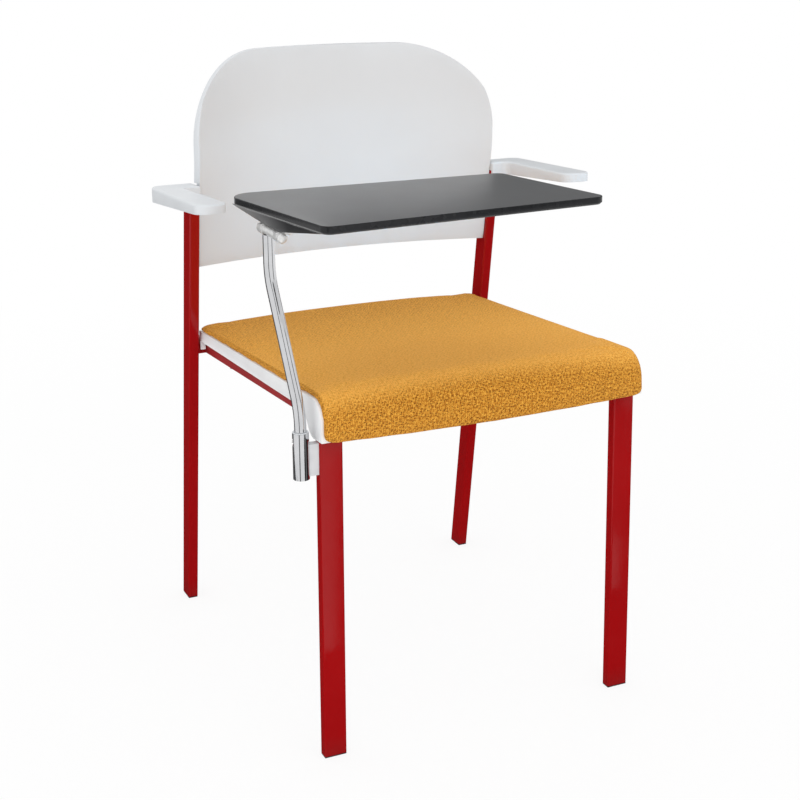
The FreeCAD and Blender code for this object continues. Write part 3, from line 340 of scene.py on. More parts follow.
def chromePlate():
    look = chromeLook
    material, tree, shader = startMaterial("polished chrome plate")
    vector = place(tree)
    smudge = grainNoise(tree, vector, look["smudgeScale"], 5.0, 0.6)
    colourBy(tree, shader, smudge, (0.35, look["smudge"]), (0.65, look["tone"]))
    shader.inputs["Metallic"].default_value = 1.0
    # polishing lines run along the tube
    fine = grainNoise(tree, place(tree, scale=(1, 1, 0.06)), look["polishScale"], 3.0)
    mixed = math2(tree, "MULTIPLY_ADD", fine, 0.4, math2(tree, "MULTIPLY", smudge, 0.6))
    roughBy(tree, shader, mixed, look["haze"])
    bump(tree, shader, fine, look["polish"])
    return material


zincLook = {
    "tone": (0.86, 0.86, 0.85),
    "dull": (0.74, 0.74, 0.74),
    "haze": (0.30, 0.44),
    "metal": 0.55,          # the cast skin is partly dull oxide
    "cloudScale": 160.0,
    "hazeScale": 700.0,
    "grainScale": 1300.0,
    "grain": 0.06,
}


def brightZinc():
    look = zincLook
    material, tree, shader = startMaterial("bright zinc metal")
    vector = place(tree)
    clouds = grainNoise(tree, vector, look["cloudScale"], 4.0)
    colourBy(tree, shader, clouds, (0.3, look["dull"]), (0.6, look["tone"]))
    shader.inputs["Metallic"].default_value = look["metal"]
    roughBy(tree, shader, grainNoise(tree, vector, look["hazeScale"], 4.0), look["haze"])
    bump(tree, shader, grainNoise(tree, vector, look["grainScale"], 3.0), look["grain"])
    return material


plateLook = {
    "light": (0.70, 0.71, 0.72),
    "shade": (0.62, 0.63, 0.65),
    "gloss": (0.35, 0.5),
    "cloudScale": 60.0,
    "grainScale": 500.0,
    "grain": 0.06,
}

# the tablet's underside, and a lighter grey for the small ledge on the wedge, a painted
# highlight line under the board's edge
backerLook = dict(plateLook, light=(0.330, 0.333, 0.340), shade=(0.285, 0.288, 0.295))
ledgeHighlightLook = dict(plateLook, light=(0.330, 0.332, 0.338), shade=(0.270, 0.272, 0.278))


def plainSheet(name, look):
    material, tree, shader = startMaterial(name)
    vector = place(tree)
    clouds = grainNoise(tree, vector, look["cloudScale"], 4.0)
    colourBy(tree, shader, clouds, (0.3, look["shade"]), (0.7, look["light"]))
    roughBy(tree, shader, clouds, look["gloss"])
    fine = grainNoise(tree, vector, look["grainScale"], 2.0)
    bump(tree, shader, fine, look["grain"], distance=0.0004)
    return material


blackLook = {
    "deep": (0.0105, 0.0109, 0.0120),
    "grey": (0.0160, 0.0166, 0.0182),
    "paintedSheen": (0.250, 0.250, 0.254),
    "sheenStart": -0.212,     # front end of the painted sheen
    "sheenEnd": -0.118,
    "sheenInner": -0.195,
    "sheenOuter": -0.238,
    "sheenLow": 0.50,
    "sheenHigh": 0.60,
    "sheenMost": 0.85,
    "cloudScale": 40.0,
    "glossScale": 90.0,
    "grainScale": 900.0,
    "gloss": (0.34, 0.44),
    "specular": 0.36,
    "grain": 0.06,
}


def blackPlastic():
    look = blackLook
    material, tree, shader = startMaterial("black moulded plastic")
    vector = place(tree)
    clouds = grainNoise(tree, vector, look["cloudScale"], 4.0)
    colour = ramp(tree, clouds, [(0.3, look["deep"]), (0.7, look["grey"])])
    # a painted grey sheen towards the rear end of the wedge's outer side, high up
    split = add(tree, "SeparateXYZ")
    join(tree, vector, split.inputs[0])
    most = look["sheenMost"]
    rear = spread(tree, split.outputs["Y"], 0.0, most, look["sheenStart"], look["sheenEnd"])
    outer = spread(tree, split.outputs["X"], 0.0, 1.0, look["sheenInner"], look["sheenOuter"])
    high = spread(tree, split.outputs["Z"], 0.0, 1.0, look["sheenLow"], look["sheenHigh"])
    share = math2(tree, "MULTIPLY", math2(tree, "MULTIPLY", rear, outer), high)
    colour = blendColour(tree, share, colour, look["paintedSheen"])
    join(tree, colour, shader.inputs["Base Color"])
    roughBy(tree, shader, grainNoise(tree, vector, look["glossScale"]), look["gloss"])
    shader.inputs["Specular IOR Level"].default_value = look["specular"]
    cells = add(tree, "TexVoronoi", Scale=look["grainScale"])
    join(tree, vector, cells.inputs["Vector"])
    bump(tree, shader, cells.outputs["Distance"], look["grain"])
    return material


laminateLook = {
    "face": (0.090, 0.092, 0.096),
    "fleck": (0.104, 0.106, 0.110),
    "gloss": (0.285, 0.315),
    "fleckScale": 650.0,
    "cloudScale": 14.0,
    "glossScale": 12.0,
    "grainScale": 500.0,
    "grain": 0.012,
}


def greyLaminate():
    look = laminateLook
    material, tree, shader = startMaterial("dark grey laminate")
    vector = place(tree)
    flecks = grainNoise(tree, vector, look["fleckScale"], 4.0, 0.7)
    clouds = grainNoise(tree, vector, look["cloudScale"], 3.0)
    tone = math2(tree, "MULTIPLY_ADD", clouds, 0.2, math2(tree, "MULTIPLY", flecks, 0.8))
    colourBy(tree, shader, tone, (0.38, look["face"]), (0.62, look["fleck"]))
    roughBy(tree, shader, grainNoise(tree, vector, look["glossScale"], 2.0), look["gloss"])
    bump(tree, shader, grainNoise(tree, vector, look["grainScale"], 2.0), look["grain"])
    return material


bandLook = {
    "deep": (0.0100, 0.0104, 0.0120),
    "grey": (0.0145, 0.0151, 0.0170),
    "gloss": (0.22, 0.30),
    "specular": 0.26,
    "cloudScale": 120.0,
    "glossScale": 60.0,
    "grainScale": 800.0,
    "grain": 0.05,
}


def blackBand():
    look = bandLook
    material, tree, shader = startMaterial("black edge band")
    vector = place(tree)
    clouds = grainNoise(tree, vector, look["cloudScale"], 4.0)
    colourBy(tree, shader, clouds, (0.3, look["deep"]), (0.7, look["grey"]))
    roughBy(tree, shader, grainNoise(tree, vector, look["glossScale"]), look["gloss"])
    shader.inputs["Specular IOR Level"].default_value = look["specular"]
    bump(tree, shader, grainNoise(tree, vector, look["grainScale"], 2.0), look["grain"])
    return material


clothLook = {
    "pitch": 0.0026,        # one over and one under, in metres
    "cell": 0.0036,         # spacing of the gaps between yarns
    # the top's colours are lighter than the roll's, painted light on the top where the tablet
    # shades it
    "top": ((0.700, 0.300, 0.040), (0.930, 0.435, 0.072), (0.990, 0.535, 0.110)),
    "roll": ((0.350, 0.114, 0.008), (0.585, 0.236, 0.025), (0.860, 0.425, 0.060)),
    "pit": (0.105, 0.031, 0.003),
    "sway": 0.8,            # how far the rows wander, in pitches
    "stops": (0.22, 0.48, 0.76),
    "gapShare": 0.15,       # cells above this carry a gap
    "gapSoft": 0.5,
    "gapSway": 0.6,
    "gapSlant": 24,
    "gapShape": (0.85, 1.25, 1.0),
    "gapScatter": 0.68,
    "gapSize": (0.08, 0.37),
    "gapDepth": 0.9,
    "topGaps": (0.16, 0.90),    # the middle is pressed closed, the rear less so
    "rollGaps": 1.0,        # the roll is stretched open
    "pressLine": (-0.10, 0.16),
    "rearDarkerLine": (-0.08, 0.18),
    "rollStart": -0.257,
    "rollEnd": -0.284,
    "rearTone": 0.72,       # the rear of the top takes up to this share of the darker colours, so the top's painted light fades towards the back
    # the side walls and the rear edge, where the darker colours are painted shade
    "sideStart": 0.2190,
    "sideEnd": 0.2225,
    "rearStart": 0.2095,
    "rearEnd": 0.2130,
    "wear": 0.08,
    "wearScale": 6.0,
    "rough": 0.92,
    "specular": 0.12,
    "fuzz": 0.10,
    "fuzzRough": 0.45,
    "fuzzTint": (1.0, 0.66, 0.26),
    "relief": 0.70,
}


def yarnField(tree, pitch, sway):
    # a grid of yarn crossings that wanders a little, so the rows aren't ruled lines
    grid = place(tree, "UV", (1.0 / pitch, 1.0 / pitch, 1.0))
    wander = add(tree, "TexNoise", Scale=0.30, Detail=2.0)
    join(tree, grid, wander.inputs["Vector"])
    centred = add(tree, "VectorMath", operation="SUBTRACT")
    join(tree, wander.outputs["Color"], centred.inputs[0])
    centred.inputs[1].default_value = (0.5, 0.5, 0.5)
    scaled = add(tree, "VectorMath", operation="SCALE", Scale=sway)
    join(tree, centred.outputs[0], scaled.inputs[0])
    moved = add(tree, "VectorMath", operation="ADD")
    join(tree, grid, moved.inputs[0])
    join(tree, scaled.outputs[0], moved.inputs[1])
    return moved.outputs[0]


def yarnGaps(tree, look):
    # dark gaps where yarns part, each of its own depth
    field = yarnField(tree, look["cell"], look["gapSway"])
    slant = add(tree, "Mapping")
    slant.inputs["Rotation"].default_value = (0.0, 0.0, math.radians(look["gapSlant"]))
    slant.inputs["Scale"].default_value = look["gapShape"]
    join(tree, field, slant.inputs["Vector"])
    cells = add(tree, "TexVoronoi", voronoi_dimensions="2D", Scale=1.0,
                Randomness=look["gapScatter"])
    join(tree, slant.outputs["Vector"], cells.inputs["Vector"])
    spot = spread(tree, cells.outputs["Distance"], 1.0, 0.0, *look["gapSize"])
    chance = add(tree, "SeparateXYZ")
    join(tree, cells.outputs["Color"], chance.inputs[0])
    share = look["gapShare"]
    picked = spread(tree, chance.outputs["X"], 0.0, 1.0, share, share + look["gapSoft"])
    return math2(tree, "MULTIPLY", spot, picked)


def mustardCloth():
    look = clothLook
    material, tree, shader = startMaterial("mustard woven cloth")
    field = yarnField(tree, look["pitch"], look["sway"])
    split = add(tree, "SeparateXYZ")
    join(tree, field, split.inputs[0])
    across = math2(tree, "SINE", math2(tree, "MULTIPLY", split.outputs["X"], 2 * math.pi))
    along = math2(tree, "SINE", math2(tree, "MULTIPLY", split.outputs["Y"], 2 * math.pi))
    knots = math2(tree, "MULTIPLY", across, along)
    ribs = math2(tree, "MULTIPLY_ADD", across, 0.40, math2(tree, "MULTIPLY", knots, 0.60))
    gap = yarnGaps(tree, look)
    tuft = add(tree, "TexNoise", Scale=0.9, Detail=3.0, Roughness=0.75)
    join(tree, field, tuft.inputs["Vector"])
    uneven = spread(tree, tuft.outputs["Fac"], 0.12, 0.88, 0.33, 0.67)
    tone = math2(tree, "MULTIPLY_ADD", ribs, 0.22, uneven)
    # the roll and the turned-down edges show more of the dark ground between the yarns, and
    # take the darker colour set; the top's lighter set is painted light against the tablet's
    # shade, and the darker set on the side walls and the rear edge is painted shade
    spot = add(tree, "SeparateXYZ")
    join(tree, place(tree, "UV"), spot.inputs[0])
    rolled = spread(tree, spot.outputs["Y"], 0.0, 1.0, look["rollStart"], look["rollEnd"])
    aside = math2(tree, "ABSOLUTE", spot.outputs["X"])
    sided = spread(tree, aside, 0.0, 1.0, look["sideStart"], look["sideEnd"])
    reared = spread(tree, spot.outputs["Y"], 0.0, 1.0, look["rearStart"], look["rearEnd"])
    turned = math2(tree, "MAXIMUM", rolled, math2(tree, "MAXIMUM", sided, reared))
    flat = ramp(tree, tone, list(zip(look["stops"], look["top"])))
    bent = ramp(tree, tone, list(zip(look["stops"], look["roll"])))
    rearDarker = spread(tree, spot.outputs["Y"], 0.0, look["rearTone"], *look["rearDarkerLine"])
    colour = blendColour(tree, math2(tree, "MAXIMUM", turned, rearDarker), flat, bent)
    pressed = spread(tree, spot.outputs["Y"], *look["topGaps"], *look["pressLine"])
    opened = add(tree, "MapRange")
    join(tree, turned, opened.inputs["Value"])
    join(tree, pressed, opened.inputs["To Min"])
    opened.inputs["To Max"].default_value = look["rollGaps"]
    depth = math2(tree, "MULTIPLY", gap, opened.outputs["Result"])
    dark = math2(tree, "MULTIPLY", depth, look["gapDepth"])
    colour = blendColour(tree, dark, colour, look["pit"])
    # rubbed a shade paler where people sit
    worn = grainNoise(tree, place(tree), look["wearScale"], 3.0)
    colour = blendColour(tree, spread(tree, worn, 0.0, look["wear"]), colour, look["top"][2])
    join(tree, colour, shader.inputs["Base Color"])
    shader.inputs["Roughness"].default_value = look["rough"]
    shader.inputs["Specular IOR Level"].default_value = look["specular"]
    shader.inputs["Sheen Weight"].default_value = look["fuzz"]
    shader.inputs["Sheen Roughness"].default_value = look["fuzzRough"]
    shader.inputs["Sheen Tint"].default_value = (*look["fuzzTint"], 1.0)
    raised = math2(tree, "MULTIPLY_ADD", tuft.outputs["Fac"], 0.6, ribs)
    height = math2(tree, "SUBTRACT", raised, gap)
    bump(tree, shader, height, look["relief"], distance=0.0005)
    return material


red = redPaint("red tube paint", redPaintLook)
railRed = redPaint("red rail paint", railSheenLook)
white = whiteMoulding("white moulded plastic", mouldingLook)
trayBrightened = whiteMoulding("white moulding brightened with painted light", trayBrightenedLook)
chrome = chromePlate()
zinc = brightZinc()
pale = plainSheet("pale painted web", plateLook)
backer = plainSheet("grey backer sheet", backerLook)
ledgeHighlight = plainSheet("painted highlight grey", ledgeHighlightLook)
black = blackPlastic()
laminate = greyLaminate()
band = blackBand()
cloth = mustardCloth()
finishes = {
    "red_paint": red,
    "white_moulding": white,
    "chrome": chrome,
    "bright_metal": zinc,
    "pale_plate": pale,
    "dark_plastic": black,
    "grey_laminate": laminate,
    "seat_fabric": cloth,
}
for part in nodes.values():
    for slot in part.material_slots:
        slot.material = finishes[slot.material.name.split(".")[0]]
# the side rails take the red with the painted reflection
for nodeName in ("right_side_rail", "left_side_rail"):
    nodes[nodeName].material_slots[0].material = railRed
nodes["hinge_bar"].material_slots[0].material = zinc
print("materials made,", len(finishes))


# seat cushion: foam and cloth over the moulded tray

cushionLook = {
    "tilt": 3.75,           # degrees, rising to the front
    "datum": 0.4592,        # height of the tray's top at the chair's middle
    "trim": 0.0004,         # taken off before the cloth is blown up
    "voxel": 0.004,
    "pressure": 4.0,
    "most": 0.0022,         # furthest a point may swell
    "frames": 20,
    "half": 0.2218,
    "bottom": -0.0499,
    "corner": 0.012,        # rounding at the front's lower corners
    "frontPart": -0.20,     # the roll and what hangs from it lie ahead of this
    "heldTop": 0.004,       # the flat underside lies below this
    "postSide": 0.205,      # outside this and ahead of postFront the post swings past
    "postFront": -0.17,
    "postShare": 0.2,
    "sideSwell": 0.0014,    # sides stand out level with the tray, clear of the post's swing
    "sideFrom": 0.205,
    "sideRun": 0.012,
    "swellFrom": -0.215,    # the sides' swell grows from here towards the rear
    "swellRun": 0.05,
    "rollRadius": 0.033,
    "rollFront": -0.269,    # the roll's foremost line at the sides
    "rollBow": 0.015,       # how much further forward the middle is
    "crown": 0.0095,        # the cloth's height at the sides
    "crownBow": 0.004,
    "rearLine": 0.2085,     # behind this the cloth is tucked down
    "shoulder": 0.012,
    "fill": 0.85,
}


def seatFrame(point):
    # the point as seen by the sloping seat: x, y and height above the tray
    turn = math.radians(cushionLook["tilt"])
    y = point.y * math.cos(turn) - (point.z - cushionLook["datum"]) * math.sin(turn)
    z = point.y * math.sin(turn) + (point.z - cushionLook["datum"]) * math.cos(turn)
    return point.x, y, z


def chairFrame(x, y, z):
    turn = math.radians(cushionLook["tilt"])
    return Vector((x, y * math.cos(turn) + z * math.sin(turn),
                   cushionLook["datum"] - y * math.sin(turn) + z * math.cos(turn)))


def roundCorners(piece):
    look = cushionLook
    radius = look["corner"]
    for vertex in piece.data.vertices:
        x, y, z = seatFrame(vertex.co)
        out = abs(x) - (look["half"] - radius)
        down = look["bottom"] + radius - z
        if y < look["frontPart"] and out > 0 and down > 0:
            away = math.hypot(out, down)
            if away > radius:
                x = math.copysign(look["half"] - radius + out * radius / away, x)
                z = look["bottom"] + radius - down * radius / away
                vertex.co = chairFrame(x, y, z)


def blowUp(piece):
    look = cushionLook
    started = [vertex.co.copy() for vertex in piece.data.vertices]
    held = piece.vertex_groups.new(name="held")
    for vertex in piece.data.vertices:
        # the underside and the back of the roll lie on the tray and stay put
        x, y, z = seatFrame(vertex.co)
        normal = vertex.normal
        under = normal.z < -0.25 and z < look["heldTop"]
        inside = normal.y > 0.35 and y < look["frontPart"]
        if under or inside:
            held.add([vertex.index], 1.0, "REPLACE")
    pick(piece)
    modifier = piece.modifiers.new("cloth", "CLOTH")
    settings = modifier.settings
    settings.quality = 6
    settings.mass = 0.3
    settings.tension_stiffness = 25.0
    settings.compression_stiffness = 25.0
    settings.shear_stiffness = 12.0
    settings.bending_stiffness = 3.0
    settings.vertex_group_mass = "held"
    settings.use_pressure = True
    settings.uniform_pressure_force = look["pressure"]
    settings.effector_weights.gravity = 0.0
    modifier.collision_settings.use_collision = False
    modifier.point_cache.frame_start = 1
    modifier.point_cache.frame_end = look["frames"]
    scene = bpy.context.scene
    for frameNumber in range(1, look["frames"] + 1):
        scene.frame_set(frameNumber)
    pick(piece)
    bpy.ops.object.modifier_apply(modifier="cloth")
    scene.frame_set(1)
    for vertex, start in zip(piece.data.vertices, started):
        move = vertex.co - start
        # the front corners swell less, so the post can swing past them
        corner = abs(start.x) > look["postSide"] and start.y < look["postFront"]
        most = look["most"] * (look["postShare"] if corner else 1.0)
        if move.length > 1e-9:
            vertex.co = start + move.normalized() * most * math.tanh(move.length / most)


def swellSides(piece):
    look = cushionLook
    for vertex in piece.data.vertices:
        x, y, z = seatFrame(vertex.co)
        side = min(max((abs(x) - look["sideFrom"]) / look["sideRun"], 0.0), 1.0)
        along = min(max((y - look["swellFrom"]) / look["swellRun"], 0.0), 1.0)
        move = look["sideSwell"] * side * along * along * (3.0 - 2.0 * along)
        vertex.co = chairFrame(x + math.copysign(move, x), y, z)


def weaveMap(piece):
    # cloth runs front to back over the roll and is wrapped round the shoulders
    look = cushionLook
    half = look["half"]
    radius = look["rollRadius"]
    layer = piece.data.uv_layers.new(name="weave")
    spots = []
    for vertex in piece.data.vertices:
        x, y, z = seatFrame(vertex.co)
        share = min(abs(x) / half, 1.0)
        front = look["rollFront"] - look["rollBow"] * (1.0 - share * share)
        top = look["crown"] + look["crownBow"] * (1.0 - share * share)
        middleY = front + radius
        middleZ = top - radius
        if y > middleY:
            v = y
            drop = top - z
        elif z > middleZ:
            angle = math.atan2(middleY - y, z - middleZ)
            v = middleY - radius * angle
            drop = radius - math.hypot(middleY - y, z - middleZ)
        else:
            v = middleY - radius * math.pi / 2 - (middleZ - z)
            drop = y - front
        if y > look["rearLine"] and drop > 0:
            v = y + drop
        u = x
        if abs(x) > half - look["shoulder"] and drop > 0:
            u = x + math.copysign(drop, x)
        spots.append((u, v))
    for loop in piece.data.loops:
        layer.data[loop.index].uv = spots[loop.vertex_index]


def makeCushion():
    look = cushionLook
    cushion = mergedCopy("seat_pad", "seatCushion")
    remesh = cushion.modifiers.new("even", "REMESH")
    remesh.mode = "VOXEL"
    remesh.voxel_size = look["voxel"]
    trim = cushion.modifiers.new("trim", "SHRINKWRAP")
    trim.target = nodes["seat_pad"]
    trim.wrap_method = "NEAREST_SURFACEPOINT"
    trim.wrap_mode = "INSIDE"
    trim.offset = -look["trim"]
    applyAll(cushion)
    roundCorners(cushion)
    blowUp(cushion)
    swellSides(cushion)
    finer = cushion.modifiers.new("finer", "SUBSURF")
    finer.levels = 1
    finer.render_levels = 1
    applyAll(cushion)
    pick(cushion)
    bpy.ops.object.shade_smooth()
    weaveMap(cushion)
    finishPiece(cushion, cloth, "chair", "seat_fabric", "seat_pad")
    print("cushion,", len(cushion.data.polygons), "faces")


makeCushion()


# moulded plastic pieces, with the edges a mould leaves

# each node's piece name, and the width and segments of its rounded edges
edgeLook = {
    "back_panel": ("backRest", 0.0026, 3),
    "right_arm": ("rightArmPad", 0.0012, 2),
    "left_arm": ("leftArmPad", 0.0012, 2),
    "seat_shell": ("seatTray", 0.0008, 2),
    "foot_glides": ("footGlides", 0.0005, 2),
}


def mouldedPiece(nodeName, material, body, slotName):
    pieceName, width, segments = edgeLook[nodeName]
    piece = mergedCopy(nodeName, pieceName)
    roundEdges(piece, width, segments, angle=32)
    smooth(piece, angle=40)
    finishPiece(piece, material, body, slotName, nodeName)
    print(pieceName, len(piece.data.polygons), "faces")


for nodeName in ("back_panel", "right_arm", "left_arm"):
    mouldedPiece(nodeName, white, "chair", "white_moulding")
# the tray takes the lighter copy, painted light on its shaded sides
mouldedPiece("seat_shell", trayBrightened, "chair", "white_moulding")
mouldedPiece("foot_glides", black, "chair", "dark_plastic")


wedgeLook = {
    "band": 0.0012,         # how far the foot of a small sloping ledge lies below the board
    "rise": 0.0005,         # the ledge's height
    "proud": 0.0005,        # how far its foot stands out
    "edge": 0.0002,
    "near": 0.00005,        # points this close to the cut belong to it
    "ledgeSlope": (0.3, 0.95),
}


def makeWedge():
    look = wedgeLook
    wedge = mergedCopy("tablet_bracket", "tabletWedge")
    low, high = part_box("tablet_bracket")
    line = high.z - look["band"]
    edit(wedge)
    for cut in (line, line + look["rise"]):
        bpy.ops.mesh.select_all(action="SELECT")
        bpy.ops.mesh.bisect(plane_co=(0, 0, cut), plane_no=(0, 0, 1))
    done()
    middle = Vector(((low.x + high.x) / 2, (low.y + high.y) / 2, 0))
    for vertex in wedge.data.vertices:
        if abs(vertex.co.z - line) < look["near"]:
            aside = Vector((vertex.co.x, vertex.co.y, 0)) - middle
            vertex.co += aside.normalized() * look["proud"]
    roundEdges(wedge, look["edge"], 2, angle=14)
    smooth(wedge, angle=30)
    finishPiece(wedge, black, "tablet", "dark_plastic", "tablet_bracket")
    # the ledge's sloping faces take the lighter grey, a painted highlight
    wedge.data.materials.append(ledgeHighlight)
    least, most = look["ledgeSlope"]
    for face in wedge.data.polygons:
        between = line < face.center.z < line + look["rise"]
        face.material_index = 1 if between and least < face.normal.z < most else 0
    print("tablet wedge,", len(wedge.data.polygons), "faces")


makeWedge()


boardLook = {
    "arris": 0.0005,
    "segments": 2,
    "level": 0.98,          # faces as level as this are top or underside, the rest edge
}


def makeBoard():
    board = mergedCopy("tablet_board", "tabletBoard")
    roundEdges(board, boardLook["arris"], boardLook["segments"], angle=40)
    smooth(board, angle=40)
    finishPiece(board, laminate, "tablet", "grey_laminate", "tablet_board")
    board.data.materials.append(band)
    board.data.materials.append(backer)
    for face in board.data.polygons:
        if face.normal.z > boardLook["level"]:
            face.material_index = 0
        else:
            face.material_index = 2 if face.normal.z < -boardLook["level"] else 1
    print("tablet board,", len(board.data.polygons), "faces")


makeBoard()


# screws: a pan head with a six-sided key hole, modelled once for each set and copied

screwLook = {
    "sides": 40,
    "round": 0.42,          # share of the height that the rim is rounded by
    "key": 0.46,            # key hole across its corners, as a share of the head
    "deep": 0.62,
    "seat": {"radius": 0.0045, "height": 0.0030, "side": 0.2062, "rows": (0.120, -0.150),
             "level": -0.03775},
    "back": {"radius": 0.0040, "height": 0.0025, "side": 0.2151,
             "rows": ((0.21315, 0.575), (0.20955, 0.620))},
    "bearing": {"radius": 0.0030, "height": 0.0018, "side": -0.2289, "rows": (-0.189, -0.135),
                "level": 0.6656},
    "tablet": {"radius": 0.0040, "height": 0.0025, "side": -0.213, "rows": (-0.146, -0.181),
               "level": 0.66825},
}


def screwHead(name, radius, height):
    look = screwLook
    rim = height * 0.4      # only the upper rim's edges lie above this
    bpy.ops.object.select_all(action="DESELECT")
    bpy.ops.mesh.primitive_cylinder_add(vertices=look["sides"], radius=radius, depth=height)
    head = bpy.context.active_object
    head.name = name
    edit(head, "EDGE")
    chooseEdges(head, lambda a, b: a.z > rim and b.z > rim)
    bpy.ops.mesh.bevel(offset=height * look["round"], segments=4)
    done()
    bpy.ops.object.select_all(action="DESELECT")
    bpy.ops.mesh.primitive_cylinder_add(vertices=6, radius=radius * look["key"],
                                        depth=height * look["deep"] * 2,
                                        location=(0, 0, height / 2))
    key = bpy.context.active_object
    hole = head.modifiers.new("key hole", "BOOLEAN")
    hole.operation = "DIFFERENCE"
    hole.object = key
    applyAll(head)
    bpy.data.objects.remove(key)
    return head


def placeScrews(name, look, spots, axis, body, nodeName):
    # each spot is the middle of a head, and axis is the way it faces
    turn = Vector((0, 0, 1)).rotation_difference(Vector(axis)).to_euler()
    first = screwHead(name, look["radius"], look["height"])
    screws = [copyTo(first, name, spot, turn) for spot in spots]
    bpy.data.objects.remove(first)
    whole = joinPieces(screws, name)
    smooth(whole)
    finishPiece(whole, zinc, body, "bright_metal", nodeName)
    print(name, len(spots), "heads")


seatTurn = math.radians(cushionLook["tilt"])
seatDown = (0, -math.sin(seatTurn), -math.cos(seatTurn))
look = screwLook["seat"]
spots = [chairFrame(side * look["side"], y, look["level"])
         for side in (-1, 1) for y in look["rows"]]
placeScrews("seatScrews", look, spots, seatDown, "chair", "seat_screws")
look = screwLook["back"]
spots = [(side * look["side"], y, z) for side in (-1, 1) for y, z in look["rows"]]
placeScrews("backScrews", look, spots, (0, 1, 0), "chair", "back_screws")
for pieceName, nodeName, look in (("bearingScrews", "bearing_screws", screwLook["bearing"]),
                                  ("tabletScrews", "tablet_screws", screwLook["tablet"])):
    spots = [(look["side"], y, look["level"]) for y in look["rows"]]
    placeScrews(pieceName, look, spots, (0, 0, -1), "tablet", nodeName)


# domed caps on the ends of the two hinge barrels

capLook = {
    "radius": 0.0061,
    "groove": 0.0053,
    "deep": 0.0007,
    "dome": 0.0026,
    "sides": 40,
    "steps": 6,
    "lip": 0.00002,
    "flat": 0.12,           # size of the dome's flat middle
    "axis": (-0.2419, 0.6628),
    "front": -0.198,
    "rear": -0.126,
}


def barrelCap():
    # a short neck, then rings that rise and narrow to a dome
    look = capLook
    bpy.ops.object.select_all(action="DESELECT")
    bpy.ops.mesh.primitive_cylinder_add(vertices=look["sides"], radius=look["groove"],
                                        depth=look["deep"], location=(0, 0, look["deep"] / 2))
    cap = bpy.context.active_object
    bpy.ops.object.transform_apply(location=True)
    edit(cap)
    chooseFaces(cap, lambda face: face.normal.z > 0.9)
    bpy.ops.mesh.extrude_region_move(TRANSFORM_OT_translate={"value": (0, 0, look["lip"])})
    grow = look["radius"] / look["groove"]
    bpy.ops.transform.resize(value=(grow, grow, 1.0))
    steps = look["steps"]
    size = 1.0
    for step in range(1, steps + 1):
        angle = math.pi / 2 * step / steps
        rise = look["dome"] * (math.sin(angle) - math.sin(angle - math.pi / 2 / steps))
        bpy.ops.mesh.extrude_region_move(TRANSFORM_OT_translate={"value": (0, 0, rise)})
        wanted = max(math.cos(angle), look["flat"])
        bpy.ops.transform.resize(value=(wanted / size, wanted / size, 1.0))
        size = wanted
    done()
    return cap


def makeCaps():
    look = capLook
    x, z = look["axis"]
    first = barrelCap()
    caps = [copyTo(first, "hingeCaps", (x, y, z), (math.radians(turn), 0, 0))
            for y, turn in ((look["front"], 90), (look["rear"], -90))]
    bpy.data.objects.remove(first)
    whole = joinPieces(caps, "hingeCaps")
    smooth(whole, angle=40)
    finishPiece(whole, zinc, "tablet", "bright_metal")
    print("hinge caps,", len(whole.data.polygons), "faces")


makeCaps()


# pale flanged bush in the mouth of the chrome sleeve

bushLook = {
    "outer": 0.0096,
    "inner": 0.00735,
    "high": 0.0010,
    "edge": 0.0003,
    "sides": 64,
}


def makeBush():
    look = bushLook
    low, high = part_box("tablet_socket")
    axis = ((low.x + high.x) / 2, (low.y + high.y) / 2)
    bpy.ops.object.select_all(action="DESELECT")
    bpy.ops.mesh.primitive_cylinder_add(vertices=look["sides"], radius=look["outer"],
                                        depth=look["high"])
    bush = bpy.context.active_object
    bush.name = "socketBush"
    edit(bush)
    chooseFaces(bush, lambda face: abs(face.normal.z) > 0.9)
    bpy.ops.mesh.inset(thickness=look["outer"] - look["inner"])
    bpy.ops.mesh.bridge_edge_loops()
    done()
    roundEdges(bush, look["edge"], 2, angle=30)
    bush.location = (*axis, high.z + look["high"] / 2)
    settle(bush)
    smooth(bush, angle=40)
    finishPiece(bush, white, "chair", "white_moulding")
    print("socket bush,", len(bush.data.polygons), "faces, at", [round(v, 4) for v in axis])


makeBush()


# floor, light and camera

stageLook = {
    "floor": (0.95, 0.95, 0.95),
    "floorSize": 60.0,
    "near": 0.86,           # share of plain white seen in the floor round the chair
    "plainFrom": 0.6,       # metres from the middle, where the share starts to grow
    "plainTo": 2.2,
    "ambient": 0.88,
}

# each lamp's place, aim, width, height and power; the fill also has a tint and a fan
lampLook = {
    "frontLight": ((-0.6, -3.4, 2.7), (0, 0, 0.5), 4.2, 3.0, 29.0),
    "leftLight": ((-3.0, -1.5, 1.3), (0, 0, 0.5), 4.5, 2.6, 13.0),
    "rightLight": ((2.8, -1.4, 1.5), (0, 0, 0.5), 1.6, 2.0, 2.5),
    "topLight": ((0.0, 0.3, 3.2), (0, 0, 0.4), 2.4, 2.4, 3.5),
    # cools the seat's warm bounce on the panel
    "fillLight": ((0.05, -0.33, 0.62), (0.05, 0.21, 0.575), 0.50, 0.05, 0.080,
                  (0.25, 0.66, 1.0), 50),
}

cameraLook = {
    "spot": (-0.8442, -1.8628, 1.0418),
    "turn": (73.78, 0.0, -25.84),
    "lens": 69.1,
    "sensor": 36.0,
    "shift": (-0.0488, -0.0652),
}

